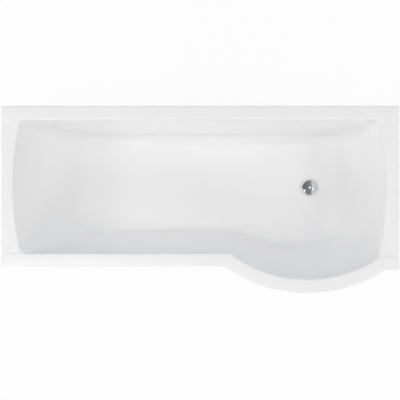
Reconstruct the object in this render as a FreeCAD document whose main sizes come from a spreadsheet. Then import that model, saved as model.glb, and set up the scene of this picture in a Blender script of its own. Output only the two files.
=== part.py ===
"""Shower bath with a bowed tap end, the kind sold as a P-shaped or asymmetric bath.

A vacuum-formed acrylic sheet is backed with sprayed glass fibre. A board is bonded under its floor and
timber battens under its rim. Two steel bearers and a centre bracket are screwed to the board, and five
adjustable feet stand in them. A push-to-open waste is clamped through the floor.

Frame: X along the bath from the head end to the tap end, Y from the bowed front to the wall side, Z up.
The origin is on the ground under the middle of the bath's bounding box. Lengths are in millimetres and
angles in degrees.
"""

import FreeCAD, Part
import math
import os

import Sketcher

# Driving dimensions: name, value, what it measures.
SIZES = [
    ("overall_length", 1700, "head end to tap end, over the rim"),
    ("overall_width", 800, "wall side to the widest point of the bow"),
    ("bow_reach", 114, "how far the bow stands out from the straight front edge"),
    ("tap_bow_reach", 100, "how far the bow stands out from the short front edge at the tap end"),
    ("tap_land", 59, "length of the short front edge at the tap end"),
    ("seat_height", 143, "ground to the top of the bearers"),
    ("basin_depth", 400, "rim to the flat of the floor"),
    ("bow_radius", 605, "outer edge of the bow, in plan"),
    ("back_rim", 58, "width of the rim along the wall"),
    ("front_rim", 55, "width of the rim along the straight front"),
    ("bow_rim", 58, "width of the rim round the bow"),
    ("head_rim", 47, "width of the rim at the middle of the head end"),
    ("tap_rim", 54, "width of the rim at the middle of the tap end"),
    ("lip_depth", 38, "height of the turned-down edge"),
    ("lip_round", 5, "rounding of the rim's outer edge"),
    ("rim_roll", 8, "rounding where the rim turns down into the basin"),
    ("outer_corner", 8, "plan radius of the rim's outer corners"),
    ("bow_nick", 12, "plan radius where the bow leaves the straight edges"),
    ("sheet_thickness", 5, "acrylic sheet"),
    ("glass_thickness", 4, "glass fibre sprayed on the back of the sheet"),
    ("glass_gap", 1, "glass fibre to the inside of the lip"),
    ("head_sag", 34, "bow of the basin's head edge at the rim"),
    ("tap_sag", 29, "bow of the basin's tap edge at the rim"),
    ("floor_sag", 4, "bow of both end edges at the floor"),
    ("head_back_corner", 30, "plan radius of the wall-side head corner at the rim"),
    ("head_back_corner_floor", 60, "plan radius of the wall-side head corner at the floor"),
    ("head_front_corner", 40, "plan radius of the front head corner at the rim"),
    ("head_front_corner_floor", 270, "plan radius that the front head corner widens to towards the floor"),
    ("tap_corner", 20, "plan radius of the wall-side tap corner at the rim"),
    ("tap_corner_floor", 50, "plan radius of the wall-side tap corner at the floor"),
    ("bow_corner", 14, "plan radius where the bow meets the tap edge, at the rim"),
    ("bow_corner_floor", 60, "plan radius where the bow meets the tap edge, at the floor"),
    ("bow_blend", 24, "plan radius where the bow leaves the front wall, at the rim"),
    ("bow_blend_floor", 400, "plan radius where the bow leaves the front wall, at the floor"),
    ("head_draft", 32, "lean of the back rest from upright"),
    ("head_cove", 250, "radius from back rest to floor"),
    ("tap_draft", 12, "lean of the tap end wall"),
    ("tap_cove", 247, "radius from tap end wall to floor"),
    ("back_draft", 7, "lean of the wall-side wall"),
    ("back_cove", 50, "radius from wall-side wall to floor"),
    ("front_draft", 14, "lean of the front wall"),
    ("front_cove", 60, "radius from front wall to floor"),
    ("bow_draft", 17, "lean of the bowed wall"),
    ("bow_cove", 70, "radius from bowed wall to floor"),
    ("board_thickness", 16, "board under the floor"),
    ("board_margin", 8, "edge of the floor's flat to the board"),
    ("board_waste_gap", 75, "middle of the waste to the end of the board"),
    ("laminate_thickness", 2, "glass fibre skin over the board"),
    ("batten_width", 30, "timber under the wall-side rim"),
    ("slim_batten_width", 22, "timber under the other rims"),
    ("batten_height", 32, "height of every batten"),
    ("batten_gap", 3, "batten to the inside of the lip"),
    ("batten_end", 90, "end of the bath to the end of a long batten"),
    ("batten_side", 70, "edge of the bath to the end of a short batten"),
    ("bow_batten_gap", 67, "start of the bow to the end of the front batten"),
    ("bow_batten_half_angle", 24, "half of the curved batten's sweep"),
    ("bearer_width", 40, "steel bearer, across"),
    ("bearer_height", 25, "steel bearer, flange height"),
    ("steel_gauge", 2, "thickness of the bearers and brackets"),
    ("head_bearer_inset", 105, "head end of the board to the head bearer"),
    ("tap_bearer_inset", 100, "tap end of the board to the tap bearer"),
    ("foot_inset", 19, "edge of the basin to a foot"),
    ("bow_foot_inset", 92, "edge of the bow to the foot under it"),
    ("bearer_overhang", 22, "foot to the end of its bearer"),
    ("hat_depth", 55, "centre bracket, board to the underside of its web"),
    ("hat_web", 50, "centre bracket, width of its web"),
    ("hat_flange", 26, "centre bracket, width of each flange"),
    ("hat_length", 64, "centre bracket, length across the bath"),
    ("stud_radius", 6, "threaded stud of a foot"),
    ("stud_chamfer", 1.2, "bevel at both ends of a stud"),
    ("stud_rise", 22, "top of a stud above its upper nut"),
    ("stud_hole_gap", 0.6, "stud to its hole, radial"),
    ("nut_across", 19, "foot nut across its flats"),
    ("nut_height", 10, "foot nut"),
    ("nut_seat_gap", 0.2, "nut to the steel it bears on"),
    ("thread_gap", 0.1, "stud to the bore of its nut, radial"),
    ("pad_radius", 28, "foot pad at the ground"),
    ("pad_top_radius", 13, "foot pad at its top"),
    ("pad_edge", 8, "height of the foot pad's straight edge"),
    ("pad_height", 30, "foot pad"),
    ("pad_socket", 18, "depth of the stud in the foot pad"),
    ("fit_gap", 0.05, "between turned pieces that are pushed together, radial"),
    ("screw_radius", 2.4, "wood screw shank"),
    ("screw_length", 16, "wood screw under its head"),
    ("screw_point", 4, "length of the screw's point"),
    ("screw_tip_radius", 0.4, "end of the screw's point"),
    ("screw_head_radius", 5, "pan head"),
    ("screw_head_height", 3, "pan head"),
    ("screw_hole_gap", 0.4, "screw to its hole in steel, radial"),
    ("screw_relief", 1, "end of the screw to the end of its pilot hole"),
    ("screw_edge", 45, "edge of the board to the first screw of a bearer"),
    ("hat_screw_pitch", 36, "between screws along a flange of the centre bracket"),
    ("wall_bracket_setback", 350, "end of the bath to a wall bracket"),
    ("wall_bracket_width", 50, "wall bracket along the wall"),
    ("wall_bracket_drop", 45, "height of a wall bracket's upright leg"),
    ("wall_bracket_reach", 42, "depth of a wall bracket's level leg"),
    ("wall_hole_radius", 3.25, "holes for screws into the wall"),
    ("wall_hole_pitch", 24, "between the wall holes of a bracket"),
    ("wall_hole_drop", 28, "top of a bracket to its wall holes"),
    ("waste_inset", 6, "foot of the tap end slope to the middle of the waste"),
    ("waste_hole_radius", 26, "hole through the floor"),
    ("recess_radius", 40, "dish round the waste"),
    ("recess_depth", 4, "dish round the waste"),
    ("flange_radius", 34, "waste flange"),
    ("flange_thickness", 3, "waste flange"),
    ("flange_round", 1.5, "bevel on the flange's upper edge"),
    ("flange_seal_thickness", 1.5, "foam washer under the flange"),
    ("seal_radius", 33, "outside of both washers"),
    ("seal_bore_gap", 1, "washers to the tail, radial"),
    ("lower_seal_thickness", 3, "rubber washer above the back nut"),
    ("tail_radius", 23.9, "outside of the waste's threaded tail"),
    ("tail_bore", 20, "bore radius of the tail"),
    ("tail_length", 62, "tail under the flange"),
    ("outlet_length", 34, "free thread for the trap"),
    ("relief_width", 2, "groove between the clamped thread and the free thread"),
    ("relief_depth", 0.8, "groove between the clamped thread and the free thread"),
    ("mouth_radius", 27, "top of the waste's cone"),
    ("mouth_depth", 9, "height of the waste's cone"),
    ("spider_drop", 22, "flange top to the top of the cross bars"),
    ("spider_height", 8, "cross bars in the waste"),
    ("spider_bar", 3, "thickness of a cross bar"),
    ("hub_radius", 9, "middle of the cross bars"),
    ("back_nut_across", 66, "back nut across its flats"),
    ("back_nut_height", 12, "back nut"),
    ("plug_radius", 33, "domed plug"),
    ("plug_edge", 2, "thickness of the plug at its edge"),
    ("plug_rise", 4.5, "height of the dome over the plug's edge"),
    ("plug_gap", 0.4, "plug to the flange when shut"),
    ("plug_spigot_radius", 19, "short spigot under the plug"),
    ("plug_spigot_depth", 4.5, "short spigot under the plug"),
    ("plug_socket", 6, "depth of the plunger in the plug"),
    ("plug_seal_height", 3, "rubber ring round the spigot"),
    ("plug_seal_gap", 0.3, "rubber ring to the cone when shut"),
    ("plunger_radius", 4, "spindle that carries the plug"),
    ("plunger_drop", 36, "flange top to the end of the plunger when shut"),
    ("plunger_gap", 0.1, "plunger to its sleeve, radial"),
    ("sleeve_radius", 6.5, "fixed sleeve of the push mechanism"),
    ("sleeve_collar_radius", 8.5, "collar that seats on the cross bars"),
    ("sleeve_collar", 2, "thickness of that collar"),
    ("sleeve_base", 2, "closed end of the sleeve"),
    ("spring_space", 8, "end of the plunger to the closed end of the sleeve"),
    ("spring_wire", 0.5, "radius of the spring's wire"),
    ("spring_side_gap", 0.3, "spring to its sleeve, radial"),
    ("spring_end_gap", 0.2, "spring to what it presses on"),
    ("overrun", 2, "how far cutting tools pass the faces that they cut"),
]

# Places worked out from the driving dimensions: name, formula.
PLACES = [
    ("tap_end_x", "Sizes.overall_length / 2"),
    ("head_end_x", "-Sizes.overall_length / 2"),
    ("back_y", "Sizes.overall_width / 2"),
    ("bow_front_y", "-Sizes.overall_width / 2"),
    ("head_front_y", "Places.bow_front_y + Sizes.bow_reach"),
    ("tap_front_y", "Places.bow_front_y + Sizes.tap_bow_reach"),
    ("basin_back_y", "Places.back_y - Sizes.back_rim"),
    ("basin_front_y", "Places.head_front_y + Sizes.front_rim"),
    ("middle_y", "(Places.basin_back_y + Places.basin_front_y) / 2"),
    ("bow_y", "Places.bow_front_y + Sizes.bow_radius"),
    ("bow_end_x", "Places.tap_end_x - Sizes.tap_land"),
    ("tap_front_rise", "Places.bow_y - Places.tap_front_y"),
    ("head_front_rise", "Places.bow_y - Places.head_front_y"),
    ("bow_x", "Places.bow_end_x - sqrt(Sizes.bow_radius ^ 2 - Places.tap_front_rise ^ 2)"),
    ("bow_start_x", "Places.bow_x - sqrt(Sizes.bow_radius ^ 2 - Places.head_front_rise ^ 2)"),
    ("board_under_z", "Sizes.seat_height + Sizes.laminate_thickness"),
    ("glass_under_z", "Places.board_under_z + Sizes.board_thickness"),
    ("floor_z", "Places.glass_under_z + Sizes.glass_thickness + Sizes.sheet_thickness"),
    ("rim_z", "Places.floor_z + Sizes.basin_depth"),
    ("rim_under_z", "Places.rim_z - Sizes.sheet_thickness - Sizes.glass_thickness"),
    ("batten_under_z", "Places.rim_under_z - Sizes.batten_height"),
    ("batten_inset", "Sizes.sheet_thickness + Sizes.batten_gap"),
    ("flat_head_x", "Places.head_end_x + Sizes.head_rim + Places.head_run"),
    ("flat_back_y", "Places.basin_back_y - Places.back_run"),
    ("flat_front_y", "Places.basin_front_y + Places.front_run"),
    ("flat_tap_x", "Places.tap_end_x - Sizes.tap_rim - Places.tap_run"),
    ("waste_x", "Places.flat_tap_x - Sizes.waste_inset"),
    ("front_batten_x", "Places.head_end_x + Sizes.batten_end"),
    ("board_x", "Places.flat_head_x + Sizes.board_margin"),
    ("board_length", "Places.waste_x - Sizes.board_waste_gap - Places.board_x"),
    ("board_y", "Places.flat_front_y + Sizes.board_margin"),
    ("board_width", "Places.flat_back_y - Sizes.board_margin - Places.board_y"),
    ("board_middle_y", "Places.board_y + Places.board_width / 2"),
    ("screw_pitch", "(Places.board_width - 2 * Sizes.screw_edge) / 3"),
    ("head_bearer_x", "Places.board_x + Sizes.head_bearer_inset"),
    ("tap_bearer_x", "Places.board_x + Places.board_length - Sizes.tap_bearer_inset"),
    ("foot_back_y", "Places.basin_back_y - Sizes.foot_inset"),
    ("foot_front_y", "Places.basin_front_y + Sizes.foot_inset"),
    ("foot_bow_y", "Places.bow_front_y + Sizes.bow_rim + Sizes.bow_foot_inset"),
    ("head_bearer_y", "(Places.foot_back_y + Places.foot_front_y) / 2"),
    ("tap_bearer_y", "(Places.foot_back_y + Places.foot_bow_y) / 2"),
    ("stud_hole_radius", "Sizes.stud_radius + Sizes.stud_hole_gap"),
    ("centre_foot_x", "(Places.head_bearer_x + Places.tap_bearer_x) / 2"),
    ("hat_web_z", "Sizes.seat_height - Sizes.hat_depth + Sizes.steel_gauge"),
    ("hat_screw_x", "(Sizes.hat_web + Sizes.hat_flange) / 2"),
    ("screw_seat_z", "Sizes.seat_height - Sizes.steel_gauge"),
    ("pilot_radius", "Sizes.screw_radius + Sizes.fit_gap"),
    ("pilot_length", "Sizes.screw_length + Sizes.screw_relief"),
    ("steel_hole_radius", "Sizes.screw_radius + Sizes.screw_hole_gap"),
    ("wall_bracket_x", "Places.tap_end_x - Sizes.wall_bracket_setback"),
    ("bracket_seat_z", "Places.batten_under_z - Sizes.steel_gauge"),
    ("wall_screw_y", "Places.back_y - Places.batten_inset - Sizes.batten_width / 2"),
    ("flange_under_z", "Places.floor_z - Sizes.recess_depth + Sizes.flange_seal_thickness"),
    ("flange_z", "Places.flange_under_z + Sizes.flange_thickness"),
    ("clamp_z", "Places.glass_under_z - Sizes.recess_depth"),
    ("back_nut_z", "Places.clamp_z - Sizes.lower_seal_thickness - Sizes.back_nut_height"),
    ("tail_end_z", "Places.flange_under_z - Sizes.tail_length"),
    ("outlet_top_z", "Places.tail_end_z + Sizes.outlet_length"),
    ("relief_top_z", "Places.outlet_top_z + Sizes.relief_width"),
    ("relief_radius", "Sizes.tail_radius - Sizes.relief_depth"),
    ("mouth_end_z", "Places.flange_z - Sizes.mouth_depth"),
    ("spider_z", "Places.flange_z - Sizes.spider_drop"),
    ("sleeve_top_z", "Places.spider_z + Sizes.sleeve_collar"),
    ("sleeve_bore", "Sizes.plunger_radius + Sizes.plunger_gap"),
    ("plunger_end_z", "Places.flange_z - Sizes.plunger_drop"),
    ("sleeve_floor_z", "Places.plunger_end_z - Sizes.spring_space"),
    ("plug_z", "Places.flange_z + Sizes.plug_gap"),
    ("plug_spigot_z", "Places.plug_z - Sizes.plug_spigot_depth"),
    ("plunger_top_z", "Places.plug_spigot_z + Sizes.plug_socket"),
    ("dome_radius", "(Sizes.plug_radius ^ 2 + Sizes.plug_rise ^ 2) / (2 * Sizes.plug_rise)"),
    ("cone_slope", "(Sizes.mouth_radius - Sizes.tail_bore) / Sizes.mouth_depth"),
]

# Walls of the basin, each with a draft and a cove of its own.
WALLS = ("head", "tap", "back", "front", "bow")

# Depths of the sections that shape the basin, as shares of its full depth.
LEVEL_SHARES = (0.16, 0.32, 0.47, 0.60, 0.70, 0.78, 0.845, 0.895, 0.935, 0.965, 0.985, 0.996, 1.0)

# Depths of the sections that round the rim over into the basin, as shares of the rounding.
ROLL_SHARES = (0, 0.02, 0.08, 0.18, 0.32, 0.50, 0.72, 1.0)

# A corner of the floor takes no more than this share of the floor's half width.
CORNER_LIMIT_SHARE = 0.85

# Places of the screws along a bearer, in steps of their pitch from the middle of the board.
BEARER_SCREW_STEPS = (-1.5, -0.5, 0.5, 1.5)

# Coils in the waste's spring.
SPRING_TURNS = 4

# Points nearer than this count as the same point.
TOUCHING = 0.001

doc = FreeCAD.newDocument("shower_bath")
subparts = []


def make_sheets():
    """Spreadsheets of the driving dimensions and of the places that follow from them."""
    sizes = doc.addObject("Spreadsheet::Sheet", "Sizes")
    for row, (name, value, note) in enumerate(SIZES, start=1):
        sizes.set(f"A{row}", name)
        sizes.set(f"B{row}", str(value))
        sizes.set(f"C{row}", note)
        sizes.setAlias(f"B{row}", name)
    runs = [
        (f"{wall}_run", f"Sizes.basin_depth * tan(Sizes.{wall}_draft)"
                        f" + Sizes.{wall}_cove * tan((90 - Sizes.{wall}_draft) / 2)")
        for wall in WALLS
    ]
    places = doc.addObject("Spreadsheet::Sheet", "Places")
    for row, (name, formula) in enumerate(runs + PLACES, start=1):
        places.set(f"A{row}", name)
        places.setAlias(f"B{row}", name)
    for row, (name, formula) in enumerate(runs + PLACES, start=1):
        places.set(f"B{row}", "=" + formula.replace("Places.", ""))
    doc.recompute()
    return sizes, places


SIZE_SHEET, PLACE_SHEET = make_sheets()


def size(name):
    """A driving dimension as a number."""
    return float(SIZE_SHEET.get(name))


def place(name):
    """A worked-out place as a number."""
    return float(PLACE_SHEET.get(name))


# Helpers for document objects


def keep(item, label):
    """Names a finished piece and puts it on the list of sub-parts."""
    item.Label = label
    subparts.append(item)
    return item


def bind(item, **expressions):
    """Binds properties to expressions. X, Y and Z stand for the placement."""
    for name, expression in expressions.items():
        path = f"Placement.Base.{name.lower()}" if name in ("X", "Y", "Z") else name
        item.setExpression(path, expression)
    return item


def box(name, X, Y, Z, Length, Width, Height):
    return bind(doc.addObject("Part::Box", name), X=X, Y=Y, Z=Z, Length=Length, Width=Width, Height=Height)


def cylinder(name, X, Y, Z, Radius, Height):
    return bind(doc.addObject("Part::Cylinder", name), X=X, Y=Y, Z=Z, Radius=Radius, Height=Height)


def hexagon(name, X, Y, Z, across, Height):
    """Hexagonal bar, given across its flats."""
    bar = doc.addObject("Part::Prism", name)
    bar.Polygon = 6
    return bind(bar, X=X, Y=Y, Z=Z, Circumradius=f"{across} / sqrt(3)", Height=Height)


def cut(name, base, tool):
    item = doc.addObject("Part::Cut", name)
    item.Base = base
    item.Tool = tool
    return item


def fuse(name, shapes):
    item = doc.addObject("Part::MultiFuse", name)
    item.Shapes = shapes
    return item


def group(name, links):
    item = doc.addObject("Part::Compound", name)
    item.Links = links
    return item


def feature(name, shape):
    item = doc.addObject("Part::Feature", name)
    item.Shape = shape
    return item


def new_body(name, X="0", Y="0", Z="0"):
    return bind(doc.addObject("PartDesign::Body", name), X=X, Y=Y, Z=Z)


def new_sketch(body, name, role):
    """Empty sketch on one of the body's own origin planes."""
    sketch = body.newObject("Sketcher::SketchObject", name)
    plane = next(item for item in body.Origin.OriginFeatures if item.Role == role)
    sketch.AttachmentSupport = [(plane, "")]
    sketch.MapMode = "FlatFace"
    return sketch


def fix_point(sketch, geometry, point, across, up):
    """Holds a sketch point at a place given by two expressions."""
    for kind, expression in (("DistanceX", across), ("DistanceY", up)):
        value = float(sketch.evalExpression(expression))
        index = sketch.addConstraint(Sketcher.Constraint(kind, -1, 1, geometry, point, value))
        sketch.setExpression(f"Constraints[{index}]", expression)


def draw_outline(sketch, corners):
    """Closed outline of straight lines through corners given as pairs of expressions."""
    spots = [FreeCAD.Vector(*(float(sketch.evalExpression(e)) for e in corner), 0) for corner in corners]
    count = len(corners)
    for i in range(count):
        sketch.addGeometry(Part.LineSegment(spots[i], spots[(i + 1) % count]))
    for i in range(count):
        sketch.addConstraint(Sketcher.Constraint("Coincident", i, 2, (i + 1) % count, 1))
    for i, (across, up) in enumerate(corners):
        fix_point(sketch, i, 1, across, up)


def draw_circle(sketch, across, up, radius):
    spot = FreeCAD.Vector(float(sketch.evalExpression(across)), float(sketch.evalExpression(up)), 0)
    value = float(sketch.evalExpression(radius))
    index = sketch.addGeometry(Part.Circle(spot, FreeCAD.Vector(0, 0, 1), value))
    fix_point(sketch, index, 3, across, up)
    held = sketch.addConstraint(Sketcher.Constraint("Radius", index, value))
    sketch.setExpression(f"Constraints[{held}]", radius)


def turned(label, corners, X="0", Y="0"):
    """Piece turned round an upright axis from an outline of radii and heights."""
    body = new_body(label, X=X, Y=Y)
    sketch = new_sketch(body, label + "_profile", "XZ_Plane")
    draw_outline(sketch, corners)
    turn = body.newObject("PartDesign::Revolution", label + "_turn")
    turn.Profile = sketch
    turn.ReferenceAxis = (sketch, ["V_Axis"])
    return body


def rolled(body, role, corners, length):
    """Pressed or rolled section of constant outline, extruded both ways from an origin plane."""
    sketch = new_sketch(body, body.Name + "_section", role)
    draw_outline(sketch, corners)
    pad = body.newObject("PartDesign::Pad", body.Name + "_length")
    pad.Profile = sketch
    pad.SideType = "Symmetric"
    bind(pad, Length=length)
    return pad


def drilled(body, role, holes):
    """Round holes right through a body, square to an origin plane."""
    sketch = new_sketch(body, body.Name + "_holes_" + role, role)
    for across, up, radius in holes:
        draw_circle(sketch, across, up, radius)
    pocket = body.newObject("PartDesign::Pocket", body.Name + "_drill_" + role)
    pocket.Profile = sketch
    pocket.Type = "ThroughAll"
    pocket.SideType = "Symmetric"
    return pocket


# Plan outlines: each side is a straight line or a circle, and the corners between sides are arcs


def flat(x, y, along_x, along_y):
    """Straight side through a point, with the inside on its left."""
    return {"point": FreeCAD.Vector(x, y, 0), "along": FreeCAD.Vector(along_x, along_y, 0)}


def bowed(x, y, radius):
    """Side on a circle, with the inside towards its centre."""
    return {"centre": FreeCAD.Vector(x, y, 0), "radius": radius}


def moved_in(side, distance):
    """The side shifted towards the inside, or outwards where the distance is negative."""
    if "radius" in side:
        return bowed(side["centre"].x, side["centre"].y, side["radius"] - distance)
    inwards = FreeCAD.Vector(-side["along"].y, side["along"].x, 0)
    start = side["point"] + inwards * distance
    return flat(start.x, start.y, side["along"].x, side["along"].y)


def crossing(first, second, near):
    """The point where two sides cross that lies nearest to a given point."""
    curves = []
    for side in (first, second):
        if "radius" in side:
            centre = FreeCAD.Base.Vector2d(side["centre"].x, side["centre"].y)
            curves.append(Part.Geom2d.Circle2d(centre, side["radius"]))
        else:
            end = side["point"] + side["along"]
            curves.append(Part.Geom2d.Line2d(FreeCAD.Base.Vector2d(side["point"].x, side["point"].y),
                                             FreeCAD.Base.Vector2d(end.x, end.y)))
    found = [FreeCAD.Vector(p.x, p.y, 0) for p in curves[0].intersectCC(curves[1])]
    return min(found, key=lambda p: p.distanceToPoint(near))


def foot_of(side, point):
    """The point of a side that lies nearest to a point."""
    if "radius" in side:
        return side["centre"] + (point - side["centre"]).normalize() * side["radius"]
    return side["point"] + side["along"] * (point - side["point"]).dot(side["along"])


def arc_middle(centre, start, end, radius):
    """Middle of the shorter arc between two points of a circle."""
    return centre + ((start + end) * 0.5 - centre).normalize() * radius


def arc_middle_of_corner(centre, tip, radius):
    """Middle of a corner arc: the point of its circle on the way to the corner's tip."""
    return centre + (tip - centre).normalize() * radius


def outline(sides, corners, height):
    """Closed level wire of sides and corner arcs.

    Each corner, between a side and the next, gives its radius, whether it bulges outwards, and a point
    near it.
    """
    joints = []
    count = len(sides)
    for i, (radius, bulges, near) in enumerate(corners):
        first, second = sides[i], sides[(i + 1) % count]
        tip = crossing(first, second, near)
        shift = radius if bulges else -radius
        centre = crossing(moved_in(first, shift), moved_in(second, shift), tip)
        middle = arc_middle_of_corner(centre, tip, radius)
        joints.append((foot_of(first, centre), middle, foot_of(second, centre)))
    lift = FreeCAD.Vector(0, 0, height)
    edges = []
    for i, side in enumerate(sides):
        start, end = joints[i - 1][2], joints[i][0]
        if "radius" in side:
            middle = arc_middle(side["centre"], start, end, side["radius"])
            edges.append(Part.Arc(start + lift, middle + lift, end + lift).toShape())
        else:
            edges.append(Part.LineSegment(start + lift, end + lift).toShape())
        edges.append(Part.Arc(*(point + lift for point in joints[i])).toShape())
    return Part.Wire(edges)


def rim_outline(inset, height):
    """Outer edge of the rim, drawn in by an inset."""
    head, tap = place("head_end_x"), place("tap_end_x")
    back, head_front, tap_front = place("back_y"), place("head_front_y"), place("tap_front_y")
    bow_x, bow_y, radius = place("bow_x"), place("bow_y"), size("bow_radius")
    sides = [
        flat(head, head_front, 1, 0),
        bowed(bow_x, bow_y, radius),
        flat(tap, tap_front, 1, 0),
        flat(tap, back, 0, 1),
        flat(head, back, -1, 0),
        flat(head, back, 0, -1),
    ]
    sides = [moved_in(side, inset) for side in sides]
    corner = size("outer_corner") - inset
    nick = size("bow_nick") + inset
    corners = [
        (nick, False, FreeCAD.Vector(bow_x - radius, head_front, 0)),
        (nick, False, FreeCAD.Vector(bow_x + radius, tap_front, 0)),
        (corner, True, FreeCAD.Vector(tap, tap_front, 0)),
        (corner, True, FreeCAD.Vector(tap, back, 0)),
        (corner, True, FreeCAD.Vector(head, back, 0)),
        (corner, True, FreeCAD.Vector(head, head_front, 0)),
    ]
    return outline(sides, corners, height)


def wall_inset(wall, depth, offset):
    """How far a wall has come in from the rim at a depth, measured on a skin outside it by the offset.

    The wall runs straight down at its draft and then turns to the floor round its cove.
    """
    draft = math.radians(size(wall + "_draft"))
    cove = size(wall + "_cove")
    cove_centre = size("basin_depth") - cove
    if depth <= cove_centre + (cove + offset) * math.sin(draft):
        return depth * math.tan(draft) - offset / math.cos(draft)
    rise = min(depth - cove_centre, cove + offset)
    return place(wall + "_run") - math.sqrt((cove + offset) ** 2 - rise ** 2)


def roll_flare(wall, depth):
    """How far the rounded edge of the rim stands outside the straight wall at a depth."""
    draft, roll = math.radians(size(wall + "_draft")), size("rim_roll")
    if depth >= roll * (1 - math.sin(draft)):
        return 0
    centre = roll * math.tan(draft) - roll / math.cos(draft)
    return depth * math.tan(draft) - centre - math.sqrt(roll ** 2 - (roll - depth) ** 2)


def end_radius(sag):
    """Radius of an end edge that bows by a sag over the basin's width."""
    half = (place("basin_back_y") - place("basin_front_y")) / 2
    return (half ** 2 + sag ** 2) / (2 * sag)


def basin_outline(depth, offset, rolled_edge=False):
    """Level outline of the basin at a depth under the rim, on a skin outside it by the offset.

    With a rolled edge, it widens towards the top of the rim.
    """
    down = depth / size("basin_depth")
    flare = {wall: roll_flare(wall, depth) if rolled_edge else 0 for wall in WALLS}
    inset = {wall: wall_inset(wall, depth, offset) - flare[wall] for wall in WALLS}
    spread = offset + flare["back"]
    head = place("head_end_x") + size("head_rim") + inset["head"]
    tap = place("tap_end_x") - size("tap_rim") - inset["tap"]
    back = place("basin_back_y") - inset["back"]
    front = place("basin_front_y") + inset["front"]
    middle = place("middle_y")
    bow_x, bow_y = place("bow_x"), place("bow_y")
    bow = size("bow_radius") - size("bow_rim") - inset["bow"]

    def between(name):
        """A size that changes evenly from the rim to the floor."""
        at_rim = size(name)
        at_floor = size("floor_sag") if name.endswith("sag") else size(name + "_floor")
        return at_rim + (at_floor - at_rim) * down

    def corner(name):
        """Corner radius on this skin, held to what the width leaves."""
        return min(between(name) + spread, CORNER_LIMIT_SHARE * (back - front) / 2)

    head_radius = end_radius(between("head_sag"))
    tap_radius = end_radius(between("tap_sag"))
    sides = [
        flat(head, front, 1, 0),
        bowed(bow_x, bow_y, bow),
        bowed(tap - tap_radius, middle, tap_radius),
        flat(tap, back, -1, 0),
        bowed(head + head_radius, middle, head_radius),
    ]
    corners = [
        (between("bow_blend") - spread, False, FreeCAD.Vector(bow_x - bow, front, 0)),
        (corner("bow_corner"), True, FreeCAD.Vector(tap, bow_y - bow, 0)),
        (corner("tap_corner"), True, FreeCAD.Vector(tap, back, 0)),
        (corner("head_back_corner"), True, FreeCAD.Vector(head, back, 0)),
        (corner("head_front_corner"), True, FreeCAD.Vector(head, front, 0)),
    ]
    return outline(sides, corners, place("rim_z") - depth)


def basin_block(offset, top):
    """Solid of everything inside a skin of the basin, from a depth at its top down to its floor."""
    bottom = size("basin_depth") + offset
    depths = [top] + [share * bottom for share in LEVEL_SHARES]
    return Part.makeLoft([basin_outline(depth, offset) for depth in depths], True, False)


def roll_block():
    """Solid of the mouth of the basin, where the rim rounds over."""
    depths = [share * size("rim_roll") for share in ROLL_SHARES]
    return Part.makeLoft([basin_outline(depth, 0, True) for depth in depths], True, False)


def slab(wire, thickness):
    """Level plate under a closed wire."""
    return Part.Face(wire).extrude(FreeCAD.Vector(0, 0, -thickness))


def recess_block(radius, bottom):
    """Round of the dish round the waste, from inside the basin down to a height."""
    top = place("floor_z") + size("recess_depth")
    foot = FreeCAD.Vector(place("waste_x"), place("middle_y"), bottom)
    return Part.makeCylinder(radius, top - bottom, foot)


def edges_at(shape, height):
    """Level edges of a shape at a height."""
    return [edge for edge in shape.Edges
            if max(abs(edge.BoundBox.ZMin - height), abs(edge.BoundBox.ZMax - height)) < TOUCHING]


# Acrylic sheet and its glass fibre back


def skin_block(offset, top):
    """Basin block of a skin, with the round of the dish at the waste."""
    bottom = place("floor_z") - size("recess_depth") - offset
    return basin_block(offset, top).fuse(recess_block(size("recess_radius") + offset, bottom))


def make_shells():
    rim, sheet, glass = place("rim_z"), size("sheet_thickness"), size("glass_thickness")
    void = skin_block(0, size("rim_roll"))
    sheet_block = skin_block(sheet, sheet / 2)
    glass_block = skin_block(sheet + glass, sheet + glass / 2)
    hole = Part.makeCylinder(size("waste_hole_radius"), rim,
                             FreeCAD.Vector(place("waste_x"), place("middle_y"), 0))

    top = slab(rim_outline(0, rim), size("lip_depth"))
    top = top.makeFillet(size("lip_round"), edges_at(top, rim))
    under = slab(rim_outline(sheet, rim - sheet), size("lip_depth"))
    shell = top.cut(under).fuse(sheet_block).cut(void).cut(roll_block()).cut(hole)
    keep(feature("acrylic_shell", shell.Solids[0]), "acrylic_shell")

    plate = slab(rim_outline(sheet + size("glass_gap"), rim - sheet), glass)
    backing = plate.fuse(glass_block).cut(sheet_block).cut(hole)
    keep(feature("glassfibre_backing", backing.Solids[0]), "glassfibre_backing")


# Screws and the holes that take them


def screw(name, X, Y, seat):
    """Wood screw driven upwards, with the underside of its head at the given height."""
    return turned(name, [
        ("0", f"{seat} - Sizes.screw_head_height"),
        ("Sizes.screw_head_radius", f"{seat} - Sizes.screw_head_height"),
        ("Sizes.screw_head_radius", seat),
        ("Sizes.screw_radius", seat),
        ("Sizes.screw_radius", f"{seat} + Sizes.screw_length - Sizes.screw_point"),
        ("Sizes.screw_tip_radius", f"{seat} + Sizes.screw_length"),
        ("0", f"{seat} + Sizes.screw_length"),
    ], X, Y)


def screw_set(label, spots, Z):
    """All the screws that hold one kind of piece."""
    screws = [screw(f"{label}_{i}", x, y, Z) for i, (x, y) in enumerate(spots, start=1)]
    keep(group(label, screws), label)


def pilots(name, spots, Z):
    """Pilot holes for screws whose heads seat at a height."""
    drills = [cylinder(f"{name}_{i}", x, y, Z, "Places.pilot_radius", "Places.pilot_length")
              for i, (x, y) in enumerate(spots, start=1)]
    return group(name, drills)


# Board under the floor


def bearer_spots(bearer):
    """Screws in a row along a bearer, either side of the middle of the board."""
    return [(f"Places.{bearer}_bearer_x", f"Places.board_middle_y + {step} * Places.screw_pitch")
            for step in BEARER_SCREW_STEPS]


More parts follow.
